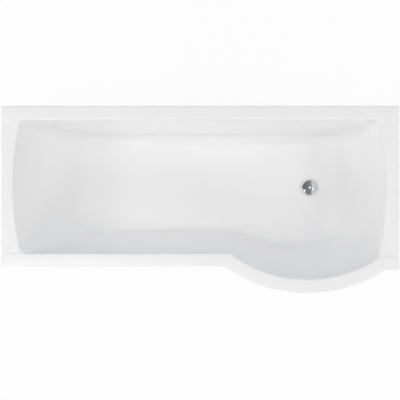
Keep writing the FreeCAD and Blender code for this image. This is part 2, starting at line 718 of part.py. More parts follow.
def hat_spots():
    """Screws in the flanges of the centre bracket."""
    return [(f"Places.centre_foot_x + {a} * Places.hat_screw_x",
             f"Places.middle_y + {b} * Sizes.hat_screw_pitch / 2")
            for a in (-1, 1) for b in (-1, 1)]


def make_board():
    spots = bearer_spots("head") + bearer_spots("tap") + hat_spots()
    board = box("board_blank", "Places.board_x", "Places.board_y", "Places.board_under_z",
                "Places.board_length", "Places.board_width", "Sizes.board_thickness")
    keep(cut("baseboard", board, pilots("board_pilots", spots, "Places.screw_seat_z")), "baseboard")

    skin = "Sizes.laminate_thickness"
    wrap = box("laminate_blank", f"Places.board_x - {skin}", f"Places.board_y - {skin}", "Sizes.seat_height",
               f"Places.board_length + 2 * {skin}", f"Places.board_width + 2 * {skin}",
               f"Sizes.board_thickness + {skin}")
    inside = box("laminate_inside", "Places.board_x", "Places.board_y", "Places.board_under_z",
                 "Places.board_length", "Places.board_width", "Sizes.board_thickness + Sizes.overrun")
    tray = cut("laminate_tray", wrap, inside)
    keep(cut("baseboard_laminate", tray, pilots("laminate_pilots", spots, "Places.screw_seat_z")),
         "baseboard_laminate")
    screw_set("bearer_screws", bearer_spots("head") + bearer_spots("tap"), "Places.screw_seat_z")
    screw_set("centre_bracket_screws", hat_spots(), "Places.screw_seat_z")


# Battens under the rim


def wall_bracket_spots():
    """Screws that go up through the wall brackets into the back batten."""
    return [(f"{side} * Places.wall_bracket_x + {step} * Sizes.wall_hole_pitch / 2", "Places.wall_screw_y")
            for side in (-1, 1) for step in (-1, 1)]


def make_battens():
    low, tall = "Places.batten_under_z", "Sizes.batten_height"
    back = box("back_batten_blank", "Places.head_end_x + Sizes.batten_end",
               "Places.back_y - Places.batten_inset - Sizes.batten_width", low,
               "Sizes.overall_length - 2 * Sizes.batten_end", "Sizes.batten_width", tall)
    holes = pilots("back_batten_pilots", wall_bracket_spots(), "Places.bracket_seat_z")
    keep(cut("rim_batten_back", back, holes), "rim_batten_back")
    keep(box("rim_batten_head", "Places.head_end_x + Places.batten_inset",
             "Places.head_front_y + Sizes.batten_side", low,
             "Sizes.slim_batten_width", "Places.back_y - Places.head_front_y - 2 * Sizes.batten_side", tall),
         "rim_batten_head")
    keep(box("rim_batten_tap", "Places.tap_end_x - Places.batten_inset - Sizes.slim_batten_width",
             "Places.tap_front_y + Sizes.batten_side", low,
             "Sizes.slim_batten_width", "Places.back_y - Places.tap_front_y - 2 * Sizes.batten_side", tall),
         "rim_batten_tap")
    keep(box("rim_batten_front", "Places.front_batten_x", "Places.head_front_y + Places.batten_inset", low,
             "Places.bow_start_x - Sizes.bow_batten_gap - Places.front_batten_x",
             "Sizes.slim_batten_width", tall),
         "rim_batten_front")

    outer = cylinder("bow_batten_outer", "Places.bow_x", "Places.bow_y", low,
                     "Sizes.bow_radius - Places.batten_inset", tall)
    bind(outer, Angle="2 * Sizes.bow_batten_half_angle")
    outer.Placement.Rotation = FreeCAD.Rotation(FreeCAD.Vector(0, 0, 1), -90)
    outer.setExpression("Placement.Rotation.Angle", "270 - Sizes.bow_batten_half_angle")
    inner = cylinder("bow_batten_inner", "Places.bow_x", "Places.bow_y", low,
                     "Sizes.bow_radius - Places.batten_inset - Sizes.slim_batten_width", tall)
    keep(cut("rim_batten_bow", outer, inner), "rim_batten_bow")


# Steel bearers and brackets


def make_bearer(bearer, front_foot):
    """Channel across the bath, open downwards, drilled for two feet and for its screws."""
    y = f"Places.{bearer}_bearer_y"
    half, seat, gauge = "Sizes.bearer_width / 2", "Sizes.seat_height", "Sizes.steel_gauge"
    low = f"{seat} - Sizes.bearer_height"
    label = f"bearer_{bearer}"
    body = new_body(label, X=f"Places.{bearer}_bearer_x", Y=y)
    rolled(body, "XZ_Plane", [
        (f"-{half}", low),
        (f"-{half} + {gauge}", low),
        (f"-{half} + {gauge}", f"{seat} - {gauge}"),
        (f"{half} - {gauge}", f"{seat} - {gauge}"),
        (f"{half} - {gauge}", low),
        (half, low),
        (half, seat),
        (f"-{half}", seat),
    ], f"Places.foot_back_y - Places.{front_foot}_y + 2 * Sizes.bearer_overhang")
    stud_holes = [("0", f"Places.{foot}_y - {y}", "Places.stud_hole_radius")
                  for foot in ("foot_back", front_foot)]
    screw_holes = [("0", f"{spot_y} - {y}", "Places.steel_hole_radius")
                   for spot_x, spot_y in bearer_spots(bearer)]
    drilled(body, "XY_Plane", stud_holes + screw_holes)
    keep(body, label)


def make_centre_bracket():
    """Hat-shaped bracket under the middle of the board."""
    web, gauge = "Sizes.hat_web / 2", "Sizes.steel_gauge"
    edge = "Sizes.hat_web / 2 + Sizes.hat_flange"
    top = "Sizes.seat_height"
    low = f"{top} - Sizes.hat_depth"
    body = new_body("centre_bracket", X="Places.centre_foot_x", Y="Places.middle_y")
    rolled(body, "XZ_Plane", [
        (f"-({edge})", top),
        (f"-({edge})", f"{top} - {gauge}"),
        (f"-{web}", f"{top} - {gauge}"),
        (f"-{web}", low),
        (web, low),
        (web, f"{top} - {gauge}"),
        (edge, f"{top} - {gauge}"),
        (edge, top),
        (f"{web} - {gauge}", top),
        (f"{web} - {gauge}", f"{low} + {gauge}"),
        (f"-{web} + {gauge}", f"{low} + {gauge}"),
        (f"-{web} + {gauge}", top),
    ], "Sizes.hat_length")
    screw_holes = [(f"{a} * Places.hat_screw_x", f"{b} * Sizes.hat_screw_pitch / 2",
                    "Places.steel_hole_radius") for a in (-1, 1) for b in (-1, 1)]
    drilled(body, "XY_Plane", [("0", "0", "Places.stud_hole_radius")] + screw_holes)
    keep(body, "centre_bracket")


def make_wall_brackets():
    """Angles under the back batten, with two holes each for screws into the wall."""
    top, back, gauge = "Places.batten_under_z", "Places.back_y", "Sizes.steel_gauge"
    for name, side in (("left", -1), ("right", 1)):
        label = f"wall_bracket_{name}"
        body = new_body(label, X=f"{side} * Places.wall_bracket_x")
        rolled(body, "YZ_Plane", [
            (f"{back} - Sizes.wall_bracket_reach", top),
            (f"{back} - Sizes.wall_bracket_reach", f"{top} - {gauge}"),
            (f"{back} - {gauge}", f"{top} - {gauge}"),
            (f"{back} - {gauge}", f"{top} - Sizes.wall_bracket_drop"),
            (back, f"{top} - Sizes.wall_bracket_drop"),
            (back, top),
        ], "Sizes.wall_bracket_width")
        steps = [f"{step} * Sizes.wall_hole_pitch / 2" for step in (-1, 1)]
        hole_z = f"{top} - Sizes.wall_hole_drop"
        drilled(body, "XZ_Plane", [(x, hole_z, "Sizes.wall_hole_radius") for x in steps])
        drilled(body, "XY_Plane", [(x, "Places.wall_screw_y", "Places.steel_hole_radius") for x in steps])
        keep(body, label)
    screw_set("wall_bracket_screws", wall_bracket_spots(), "Places.bracket_seat_z")


# Adjustable feet


def make_foot(name, X, Y, web_z):
    """Pad, threaded stud and a pair of nuts that clamp the stud to the steel above and below."""
    stud, bevel = "Sizes.stud_radius", "Sizes.stud_chamfer"
    bottom = "Sizes.pad_height - Sizes.pad_socket"
    top = f"{web_z} + Sizes.nut_seat_gap + Sizes.nut_height + Sizes.stud_rise"
    keep(turned(f"foot_stud_{name}", [
        ("0", bottom),
        (f"{stud} - {bevel}", bottom),
        (stud, f"{bottom} + {bevel}"),
        (stud, f"{top} - {bevel}"),
        (f"{stud} - {bevel}", top),
        ("0", top),
    ], X, Y), f"foot_stud_{name}")
    keep(turned(f"foot_pad_{name}", [
        ("0", "0"),
        ("Sizes.pad_radius", "0"),
        ("Sizes.pad_radius", "Sizes.pad_edge"),
        ("Sizes.pad_top_radius", "Sizes.pad_height"),
        (f"{stud} + Sizes.fit_gap", "Sizes.pad_height"),
        (f"{stud} + Sizes.fit_gap", bottom),
        ("0", bottom),
    ], X, Y), f"foot_pad_{name}")
    nuts = []
    for spot, z in (("upper", f"{web_z} + Sizes.nut_seat_gap"),
                    ("lower", f"{web_z} - Sizes.steel_gauge - Sizes.nut_seat_gap - Sizes.nut_height")):
        blank = hexagon(f"nut_blank_{name}_{spot}", X, Y, z, "Sizes.nut_across", "Sizes.nut_height")
        bore = cylinder(f"nut_bore_{name}_{spot}", X, Y, z, f"{stud} + Sizes.thread_gap", "Sizes.nut_height")
        nuts.append(cut(f"nut_{name}_{spot}", blank, bore))
    keep(group(f"foot_nuts_{name}", nuts), f"foot_nuts_{name}")


def make_feet():
    seat = "Sizes.seat_height"
    make_foot("head_back", "Places.head_bearer_x", "Places.foot_back_y", seat)
    make_foot("head_front", "Places.head_bearer_x", "Places.foot_front_y", seat)
    make_foot("tap_back", "Places.tap_bearer_x", "Places.foot_back_y", seat)
    make_foot("tap_front", "Places.tap_bearer_x", "Places.foot_bow_y", seat)
    make_foot("centre", "Places.centre_foot_x", "Places.middle_y", "Places.hat_web_z")


# Push-to-open waste


def waste_turned(label, corners):
    return turned(label, corners, "Places.waste_x", "Places.middle_y")


def ring(label, inner, outer, bottom, top):
    """Plain washer on the waste's axis."""
    return waste_turned(label, [(inner, bottom), (outer, bottom), (outer, top), (inner, top)])


def make_waste_body():
    """Flange, cone and threaded tail, with cross bars and a hub for the push mechanism."""
    flange, under, top = "Sizes.flange_radius", "Places.flange_under_z", "Places.flange_z"
    tail, bore = "Sizes.tail_radius", "Sizes.tail_bore"
    barrel = waste_turned("waste_barrel", [
        (bore, "Places.tail_end_z"),
        (tail, "Places.tail_end_z"),
        (tail, "Places.outlet_top_z"),
        ("Places.relief_radius", "Places.outlet_top_z"),
        ("Places.relief_radius", "Places.relief_top_z"),
        (tail, "Places.relief_top_z"),
        (tail, under),
        (flange, under),
        (flange, f"{top} - Sizes.flange_round"),
        (f"{flange} - Sizes.flange_round", top),
        ("Sizes.mouth_radius", top),
        (bore, "Places.mouth_end_z"),
    ])
    reach, low = "(Sizes.tail_bore + Places.relief_radius) / 2", "Places.spider_z - Sizes.spider_height"
    bar = "Sizes.spider_bar"
    long_way = box("spider_long", f"Places.waste_x - {reach}", f"Places.middle_y - {bar} / 2", low,
                   f"2 * {reach}", bar, "Sizes.spider_height")
    cross_way = box("spider_cross", f"Places.waste_x - {bar} / 2", f"Places.middle_y - {reach}", low,
                    bar, f"2 * {reach}", "Sizes.spider_height")
    hub = cylinder("spider_hub", "Places.waste_x", "Places.middle_y", low,
                   "Sizes.hub_radius", "Sizes.spider_height")
    eye = cylinder("spider_eye", "Places.waste_x", "Places.middle_y", low,
                   "Sizes.sleeve_radius + Sizes.fit_gap", "Sizes.spider_height")
    solid = fuse("waste_solid", [barrel, long_way, cross_way, hub])
    keep(cut("waste_body", solid, eye), "waste_body")


def make_clamp():
    """Washers either side of the floor, and the nut that pulls the waste down on them."""
    bore = "Sizes.tail_radius + Sizes.seal_bore_gap"
    seat = "Places.flange_under_z - Sizes.flange_seal_thickness"
    keep(ring("flange_seal", bore, "Sizes.seal_radius", seat, "Places.flange_under_z"), "flange_seal")
    keep(ring("lower_washer", bore, "Sizes.seal_radius", "Places.clamp_z - Sizes.lower_seal_thickness",
              "Places.clamp_z"), "lower_washer")
    blank = hexagon("back_nut_blank", "Places.waste_x", "Places.middle_y", "Places.back_nut_z",
                    "Sizes.back_nut_across", "Sizes.back_nut_height")
    hole = cylinder("back_nut_hole", "Places.waste_x", "Places.middle_y", "Places.back_nut_z",
                    "Sizes.tail_radius + Sizes.fit_gap", "Sizes.back_nut_height")
    keep(cut("back_nut", blank, hole), "back_nut")


def make_plug():
    """Domed plug with its sealing ring and plunger, drawn shut."""
    low, seat, spigot = "Places.plug_spigot_z", "Places.plug_z", "Sizes.plug_spigot_radius"
    edge_z = f"{seat} + Sizes.plug_edge"
    hole = "Sizes.plunger_radius + Sizes.fit_gap"
    disc = waste_turned("plug_disc", [
        (hole, low),
        (spigot, low),
        (spigot, seat),
        ("Sizes.plug_radius", seat),
        ("Sizes.plug_radius", edge_z),
        ("0", edge_z),
        ("0", "Places.plunger_top_z"),
        (hole, "Places.plunger_top_z"),
    ])
    dome = doc.addObject("Part::Sphere", "plug_dome")
    bind(dome, X="Places.waste_x", Y="Places.middle_y",
         Z=f"{edge_z} + Sizes.plug_rise - Places.dome_radius", Radius="Places.dome_radius",
         Angle1="asin((Places.dome_radius - Sizes.plug_rise) / Places.dome_radius)")
    keep(fuse("waste_plug", [disc, dome]), "waste_plug")

    bottom = f"{seat} - Sizes.plug_seal_height"
    mouth = "Sizes.mouth_radius - Sizes.plug_seal_gap"
    at_bottom = f"{mouth} - (Sizes.plug_seal_height - Sizes.plug_gap) * Places.cone_slope"
    keep(waste_turned("plug_seal", [
        (f"{spigot} + Sizes.fit_gap", bottom),
        (at_bottom, bottom),
        (mouth, f"{seat} - Sizes.plug_gap"),
        (mouth, seat),
        (f"{spigot} + Sizes.fit_gap", seat),
    ]), "plug_seal")
    keep(cylinder("plug_plunger", "Places.waste_x", "Places.middle_y", "Places.plunger_end_z",
                  "Sizes.plunger_radius", "Places.plunger_top_z - Places.plunger_end_z"), "plug_plunger")


def make_cartridge():
    """Fixed sleeve of the push mechanism and the spring under the plunger."""
    sleeve, bore = "Sizes.sleeve_radius", "Places.sleeve_bore"
    end = "Places.sleeve_floor_z - Sizes.sleeve_base"
    keep(waste_turned("cartridge_sleeve", [
        ("0", end),
        (sleeve, end),
        (sleeve, "Places.spider_z"),
        ("Sizes.sleeve_collar_radius", "Places.spider_z"),
        ("Sizes.sleeve_collar_radius", "Places.sleeve_top_z"),
        (bore, "Places.sleeve_top_z"),
        (bore, "Places.sleeve_floor_z"),
        ("0", "Places.sleeve_floor_z"),
    ]), "cartridge_sleeve")

    wire, clear = size("spring_wire"), size("spring_end_gap")
    coil = place("sleeve_bore") - size("spring_side_gap") - wire
    height = size("spring_space") - 2 * (clear + wire)
    helix = Part.makeHelix(height / SPRING_TURNS, height, coil)
    start = helix.Edges[0].valueAt(helix.Edges[0].FirstParameter)
    along = helix.Edges[0].tangentAt(helix.Edges[0].FirstParameter)
    section = Part.Wire(Part.makeCircle(wire, start, along))
    spring = Part.Wire(helix.Edges).makePipeShell([section], True, True)
    foot = place("sleeve_floor_z") + clear + wire
    spring.translate(FreeCAD.Vector(place("waste_x"), place("middle_y"), foot))
    keep(feature("cartridge_spring", spring), "cartridge_spring")


def check_document():
    """Stops the build where an object is in error or a piece has no sound shape."""
    for item in doc.Objects:
        if "Invalid" in item.State or "Error" in item.State:
            raise RuntimeError(f"{item.Label} is in error")
    for item in subparts:
        if item.Shape.isNull() or not item.Shape.isValid():
            raise RuntimeError(f"{item.Label} has no sound shape")


make_shells()
make_board()
make_battens()
make_bearer("head", "foot_front")
make_bearer("tap", "foot_bow")
make_centre_bracket()
make_wall_brackets()
make_feet()
make_waste_body()
make_clamp()
make_plug()
make_cartridge()
doc.recompute()
check_document()
os.makedirs("parts", exist_ok=True)
for item in subparts:
    item.Shape.exportStep(f"parts/{item.Label}.step")
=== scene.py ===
"""Looks of a shower bath with a bowed tap end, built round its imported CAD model.

The acrylic sheet, its glass fibre back, the waste, the feet and the screws are modelled here in more detail
than their solids. The boards, timbers, steel and seals are the solids themselves, with their own finishes.
Lengths are millimetres, as on a drawing. MM turns them to metres where points, lamps and patterns are set.
"""

import math

import bmesh
import bpy
from mathutils import Matrix, Vector, geometry, noise
from mathutils.bvhtree import BVHTree


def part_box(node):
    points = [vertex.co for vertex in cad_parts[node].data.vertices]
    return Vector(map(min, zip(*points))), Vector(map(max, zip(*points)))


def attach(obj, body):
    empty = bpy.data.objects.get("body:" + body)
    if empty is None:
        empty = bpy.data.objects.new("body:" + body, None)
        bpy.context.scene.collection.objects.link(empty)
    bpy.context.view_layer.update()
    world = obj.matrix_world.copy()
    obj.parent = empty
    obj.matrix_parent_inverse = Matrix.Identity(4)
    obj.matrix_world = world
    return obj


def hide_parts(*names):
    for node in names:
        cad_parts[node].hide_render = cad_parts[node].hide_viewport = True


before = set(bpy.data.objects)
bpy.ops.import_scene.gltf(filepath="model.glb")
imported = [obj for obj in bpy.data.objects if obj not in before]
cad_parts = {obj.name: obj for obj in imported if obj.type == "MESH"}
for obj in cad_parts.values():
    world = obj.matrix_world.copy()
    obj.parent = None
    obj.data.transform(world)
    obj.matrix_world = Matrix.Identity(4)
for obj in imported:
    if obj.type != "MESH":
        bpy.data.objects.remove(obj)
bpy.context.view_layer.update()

MM = 0.001

# Points that are nearer to each other than this, in metres, count as one.
TOUCHING = 0.000002


def corners_of(node):
    """Lowest and highest corner of a solid."""
    low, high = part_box(node)
    return low / MM, high / MM


def middle_of(node):
    low, high = corners_of(node)
    return (low + high) / 2


# Outer sizes and levels, read from the solids.
SHELL_LOW, SHELL_HIGH = corners_of("acrylic_shell")
HEAD_END, TAP_END = SHELL_LOW.x, SHELL_HIGH.x
BOW_FRONT, BACK = SHELL_LOW.y, SHELL_HIGH.y
RIM = SHELL_HIGH.z
SHEET = 5
GLASS = 4
BACKED = SHEET + GLASS
FLOOR = corners_of("baseboard")[1].z + BACKED
DEPTH = RIM - FLOOR
WASTE = middle_of("waste_plug")
FEET = ("head_back", "head_front", "tap_back", "tap_front", "centre")

# Plan of the rim.
HEAD_FRONT = BOW_FRONT + 114
TAP_FRONT = BOW_FRONT + 100
TAP_LAND = 59
BOW_RADIUS = 605
BOW_NICK = 12
OUTER_CORNER = 8
LIP_DEPTH = 38
LIP_ROUND = 5
LIP_STEPS = 5
RIM_ROLL = 8
BOW_Y = BOW_FRONT + BOW_RADIUS
BOW_X = TAP_END - TAP_LAND - math.sqrt(BOW_RADIUS ** 2 - (BOW_Y - TAP_FRONT) ** 2)

# Walls of the basin: width of the rim over the wall, lean from upright in degrees, radius of its cove.
WALLS = {
    "head": (47, 32, 250),
    "tap": (54, 12, 247),
    "back": (58, 7, 50),
    "front": (55, 14, 60),
    "bow": (58, 17, 70),
}
BASIN_BACK = BACK - WALLS["back"][0]
BASIN_FRONT = HEAD_FRONT + WALLS["front"][0]
BASIN_MIDDLE = (BASIN_BACK + BASIN_FRONT) / 2

# Sizes of the basin's plan that change evenly from the rim to the floor.
TAPERS = {
    "head_sag": (34, 4),
    "tap_sag": (29, 4),
    "head_back_corner": (30, 60),
    "head_front_corner": (40, 270),
    "tap_corner": (20, 50),
    "bow_corner": (14, 60),
    "bow_blend": (24, 400),
}
CORNER_LIMIT_SHARE = 0.85

# Points along each stretch of an outline. The rim and the basin have the same number in all.
FRONT_POINTS = 44
BOW_POINTS = 72
TAP_POINTS = 44
BACK_POINTS = 96
HEAD_POINTS = 48
BLEND_POINTS = 20
TAP_FRONT_POINTS = (10, 8, 12)
TAP_CORNER_POINTS = 14
HEAD_CORNER_POINTS = 24

# Depths of the level rings that shape the walls.
ROLL_STEPS = 7
WALL_DEPTHS = (20, 34, 52, 75, 100, 125, 150, 172, 190, 205, 219, 233, 247, 260, 273, 285, 296, 307, 317,
               326, 334, 341, 347, 353, 358, 363, 368, 372, 376, 380, 384, 387, 390)
COVE_END_DEPTHS = (392, 394, 395.5, 397, 398, 398.8, 399.4, 399.8, 400)

# How many of the lowest wall rings go into the surface on which the rings of the floor are dropped.
LOW_RINGS = 12

# Rings of the floor, as shares of the way from the last level ring to the dish round the waste.
FLOOR_SHARES = (0.012, 0.026, 0.042, 0.06, 0.08, 0.103, 0.13, 0.165, 0.21, 0.27, 0.35, 0.45, 0.57, 0.70,
                0.82, 0.92, 1)
DISH_EDGE = 46
DISH_FOOT = 36.5
DISH_DROP = 4
DISH_STEPS = 7
WASTE_HOLE = 26

# Decks at the two ends of the rim fall towards the basin, between the long rims, which stay level. The fall
# starts at the outer line, is full at the inner one, and is gone at the line over the basin.
DECK_FALL = 3
DECK_STEP = 2.5
DECK_FADE = 30
DECK_END_RATE = 3
TAP_DECK_FRONT = -246
DECKS = (
    {"outer": HEAD_END + 8, "inner": HEAD_END + 42, "basin": HEAD_END + 120, "back": BASIN_BACK,
     "front": BASIN_FRONT},
    {"outer": TAP_END - 8, "inner": TAP_END - 48, "basin": TAP_END - 125, "back": BASIN_BACK,
     "front": TAP_DECK_FRONT},
)


# Plan outlines: each side is a straight line or a circle, and the corners between sides are arcs


def straight(x, y, along_x, along_y):
    """Straight side through a point, with the inside on its left."""
    return {"point": Vector((x, y)), "along": Vector((along_x, along_y))}


def bowed(x, y, radius):
    """Side on a circle, with the inside towards its centre."""
    return {"centre": Vector((x, y)), "radius": radius}


def moved_in(side, distance):
    """The side shifted towards the inside, or outwards where the distance is negative."""
    if "radius" in side:
        return bowed(*side["centre"], side["radius"] - distance)
    along = side["along"]
    return straight(*(side["point"] + distance * Vector((-along.y, along.x))), *along)


def crossing(first, second, near):
    """The point where two sides cross that lies nearest to a given point."""
    if "radius" in first and "radius" in second:
        found = geometry.intersect_sphere_sphere_2d(
            first["centre"], first["radius"], second["centre"], second["radius"])
    elif "radius" in first or "radius" in second:
        circle, line = (first, second) if "radius" in first else (second, first)
        found = geometry.intersect_line_sphere_2d(
            line["point"], line["point"] + line["along"], circle["centre"], circle["radius"], False)
    else:
        gap = second["point"] - first["point"]
        reach = gap.cross(second["along"]) / first["along"].cross(second["along"])
        found = [first["point"] + reach * first["along"]]
    return min((point for point in found if point), key=lambda point: (point - near).length)


def foot_of(side, point):
    """The point of a side that lies nearest to a point."""
    if "radius" in side:
        return side["centre"] + (point - side["centre"]).normalized() * side["radius"]
    return side["point"] + side["along"] * (point - side["point"]).dot(side["along"])


def stretch(start, end, centre, count):
    """Points from a start towards an end, on a line, or round the shorter arc where there is a centre."""
    if centre is None:
        return [start.lerp(end, step / count) for step in range(count)]
    spoke = start - centre
    first = math.atan2(spoke.y, spoke.x)
    sweep = math.remainder(math.atan2(end.y - centre.y, end.x - centre.x) - first, math.tau)
    angles = [first + sweep * step / count for step in range(count)]
    return [centre + spoke.length * Vector((math.cos(angle), math.sin(angle))) for angle in angles]


def level_ring(sides, corners, height):
    """Points of a closed level outline.

    A side comes with its number of points. A corner, between a side and the next, gives its radius, whether
    it bulges outwards, a point near it and its number of points.
    """
    joints = []
    for i, (radius, bulges, near, count) in enumerate(corners):
        first, second = sides[i][0], sides[(i + 1) % len(sides)][0]
        tip = crossing(first, second, Vector(near))
        shift = radius if bulges else -radius
        centre = crossing(moved_in(first, shift), moved_in(second, shift), tip)
        joints.append((foot_of(first, centre), foot_of(second, centre), centre, count))
    points = []
    for i, (side, side_count) in enumerate(sides):
        start, end, centre, corner_count = joints[i]
        points += stretch(joints[i - 1][1], start, side.get("centre"), side_count)
        points += stretch(start, end, centre, corner_count)
    return [Vector((point.x, point.y, height)) * MM for point in points]


def rim_ring(inset, height):
    """Outer edge of the rim, drawn in by an inset."""
    nick_points, land_points, corner_points = TAP_FRONT_POINTS
    sides = [
        (straight(HEAD_END, HEAD_FRONT, 1, 0), FRONT_POINTS),
        (bowed(BOW_X, BOW_Y, BOW_RADIUS), BOW_POINTS),
        (straight(TAP_END, TAP_FRONT, 1, 0), land_points),
        (straight(TAP_END, BACK, 0, 1), TAP_POINTS),
        (straight(HEAD_END, BACK, -1, 0), BACK_POINTS),
        (straight(HEAD_END, BACK, 0, -1), HEAD_POINTS),
    ]
    nick, corner = BOW_NICK + inset, max(OUTER_CORNER - inset, 1)
    corners = [
        (nick, False, (BOW_X - BOW_RADIUS, HEAD_FRONT), BLEND_POINTS),
        (nick, False, (BOW_X + BOW_RADIUS, TAP_FRONT), nick_points),
        (corner, True, (TAP_END, TAP_FRONT), corner_points),
        (corner, True, (TAP_END, BACK), TAP_CORNER_POINTS),
        (corner, True, (HEAD_END, BACK), HEAD_CORNER_POINTS),
        (corner, True, (HEAD_END, HEAD_FRONT), HEAD_CORNER_POINTS),
    ]
    return level_ring([(moved_in(side, inset), count) for side, count in sides], corners, height)


def wall_inset(wall, depth, offset):
    """How far a wall has come in from the rim at a depth, on a skin outside it by the offset.

    The wall runs straight down at its lean and then turns to the floor round its cove.
    """
    lean, cove = math.radians(WALLS[wall][1]), WALLS[wall][2]
    cove_centre = DEPTH - cove
    if depth <= cove_centre + (cove + offset) * math.sin(lean):
        return depth * math.tan(lean) - offset / math.cos(lean)
    run = DEPTH * math.tan(lean) + cove * math.tan((math.pi / 2 - lean) / 2)
    rise = min(depth - cove_centre, cove + offset)
    return run - math.sqrt((cove + offset) ** 2 - rise ** 2)


def roll_flare(wall, depth):
    """How far the rounded edge of the rim stands outside the straight wall at a depth."""
    lean = math.radians(WALLS[wall][1])
    if depth >= RIM_ROLL * (1 - math.sin(lean)):
        return 0
    centre = RIM_ROLL * math.tan(lean) - RIM_ROLL / math.cos(lean)
    return depth * math.tan(lean) - centre - math.sqrt(RIM_ROLL ** 2 - (RIM_ROLL - depth) ** 2)


def end_radius(sag):
    """Radius of an end edge that bows by a sag over the basin's width."""
    half = (BASIN_BACK - BASIN_FRONT) / 2
    return (half ** 2 + sag ** 2) / (2 * sag)


def basin_ring(depth, offset=0, rolled_edge=False):
    """Level outline of the basin at a depth under the rim, on a skin outside it by the offset.

    With a rolled edge, it widens towards the top of the rim.
    """
    down = depth / DEPTH
    flare = {wall: roll_flare(wall, depth) if rolled_edge else 0 for wall in WALLS}
    inset = {wall: wall_inset(wall, depth, offset) - flare[wall] for wall in WALLS}
    spread = offset + flare["back"]
    head = HEAD_END + WALLS["head"][0] + inset["head"]
    tap = TAP_END - WALLS["tap"][0] - inset["tap"]
    back = BASIN_BACK - inset["back"]
    front = BASIN_FRONT + inset["front"]
    bow = BOW_RADIUS - WALLS["bow"][0] - inset["bow"]
    taper = {name: at_rim + (at_floor - at_rim) * down for name, (at_rim, at_floor) in TAPERS.items()}
    most = CORNER_LIMIT_SHARE * (back - front) / 2
    radius = {name: min(taper[name] + spread, most) for name in TAPERS if name.endswith("_corner")}
    head_radius, tap_radius = end_radius(taper["head_sag"]), end_radius(taper["tap_sag"])
    sides = [
        (straight(head, front, 1, 0), FRONT_POINTS),
        (bowed(BOW_X, BOW_Y, bow), BOW_POINTS),
        (bowed(tap - tap_radius, BASIN_MIDDLE, tap_radius), TAP_POINTS),
        (straight(tap, back, -1, 0), BACK_POINTS),
        (bowed(head + head_radius, BASIN_MIDDLE, head_radius), HEAD_POINTS),
    ]
    corners = [
        (taper["bow_blend"] - spread, False, (BOW_X - bow, front), BLEND_POINTS),
        (radius["bow_corner"], True, (tap, BOW_Y - bow), sum(TAP_FRONT_POINTS)),
        (radius["tap_corner"], True, (tap, back), TAP_CORNER_POINTS),
        (radius["head_back_corner"], True, (head, back), HEAD_CORNER_POINTS),
        (radius["head_front_corner"], True, (head, front), HEAD_CORNER_POINTS),
    ]
    return level_ring(sides, corners, RIM - depth)


def radial_ring(centre, reach, height, count):
    """Points round an upright axis. Reach and height are lengths, or give one for each angle."""
    points = []
    for step in range(count):
        angle = math.tau * step / count
        radius = reach(angle) if callable(reach) else reach
        level = height(angle) if callable(height) else height
        spoke = radius * Vector((math.cos(angle), math.sin(angle)))
        points.append(Vector((centre.x + spoke.x, centre.y + spoke.y, level)) * MM)
    return points


# Ways of making a mesh

EDGE_SEGMENTS = 2

# Degrees. Faces that meet at less are shaded as one, count as one flat face, or have no edge to round.
SMOOTH_ANGLE = 32
FLAT_ANGLE = 1
EDGE_ANGLE = 40


def sleeve(bm, rings):
    """Sheet grown ring by ring: each ring of edges is extruded, and its points keep their order."""
    order = bm.verts.layers.int.get("order") or bm.verts.layers.int.new("order")
    verts = [bm.verts.new(point) for point in rings[0]]
    for i, vert in enumerate(verts):
        vert[order] = i
    edges = [bm.edges.new((verts[i - 1], verts[i])) for i in range(len(verts))]
    for ring in rings[1:]:
        grown = bmesh.ops.extrude_edge_only(bm, edges=edges)["geom"]
        fresh = {item for item in grown if isinstance(item, bmesh.types.BMVert)}
        for vert in fresh:
            vert.co = ring[vert[order]]
        edges = [item for item in grown
                 if isinstance(item, bmesh.types.BMEdge) and fresh.issuperset(item.verts)]
    return edges


def turned(bm, outline, centre, steps):
    """Spins an outline of radii and heights round an upright axis."""
    verts = [bm.verts.new(Vector((centre.x + radius, centre.y, height)) * MM) for radius, height in outline]
    edges = [bm.edges.new(pair) for pair in zip(verts, verts[1:])]
    bmesh.ops.spin(bm, geom=verts + edges, cent=Vector((centre.x, centre.y, 0)) * MM, axis=(0, 0, 1),
                   angle=math.tau, steps=steps, use_merge=True)


def arc(across, up, radius, start, end, steps):
    """Points of an outline on an arc, with its angles in degrees."""
    angles = [math.radians(start + (end - start) * step / steps) for step in range(steps + 1)]
    return [(across + radius * math.cos(angle), up + radius * math.sin(angle)) for angle in angles]


def close_seams(bm):
    """Merges points that meet and turns the faces of closed shells outwards."""
    bmesh.ops.remove_doubles(bm, verts=bm.verts, dist=TOUCHING)
    bmesh.ops.recalc_face_normals(bm, faces=bm.faces)


def face_up(bm, upwards):
    """Turns an open sheet so that its faces look up on the whole, or down."""
    bm.normal_update()
    lean = sum(face.normal.z * face.calc_area() for face in bm.faces)
    if (lean > 0) != upwards:
        bmesh.ops.reverse_faces(bm, faces=bm.faces)
    bm.normal_update()


def open_edges(bm, height):
    """Edges of one face that lie at a height."""
    return [edge for edge in bm.edges
            if edge.is_boundary and all(abs(vert.co.z - height * MM) < TOUCHING for vert in edge.verts)]


def make_piece(name, bm, material, body, nodes):
    """Finished piece that rides on a body, takes the finish it is given and stands for some solids."""
    mesh = bpy.data.meshes.new(name)
    bm.to_mesh(mesh)
    bm.free()
    mesh.shade_smooth()
    mesh.set_sharp_from_angle(angle=math.radians(SMOOTH_ANGLE))
    mesh.materials.append(material)
    piece = bpy.data.objects.new(name, mesh)
    bpy.context.scene.collection.objects.link(piece)
    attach(piece, body)
    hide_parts(*nodes)
    return piece


def thicken(piece, thickness):
    """Gives a sheet its thickness, behind its faces."""
    wall = piece.modifiers.new("wall", "SOLIDIFY")
    wall.thickness = thickness * MM
    wall.offset = -1
    wall.use_even_offset = True
    wall.use_quality_normals = True


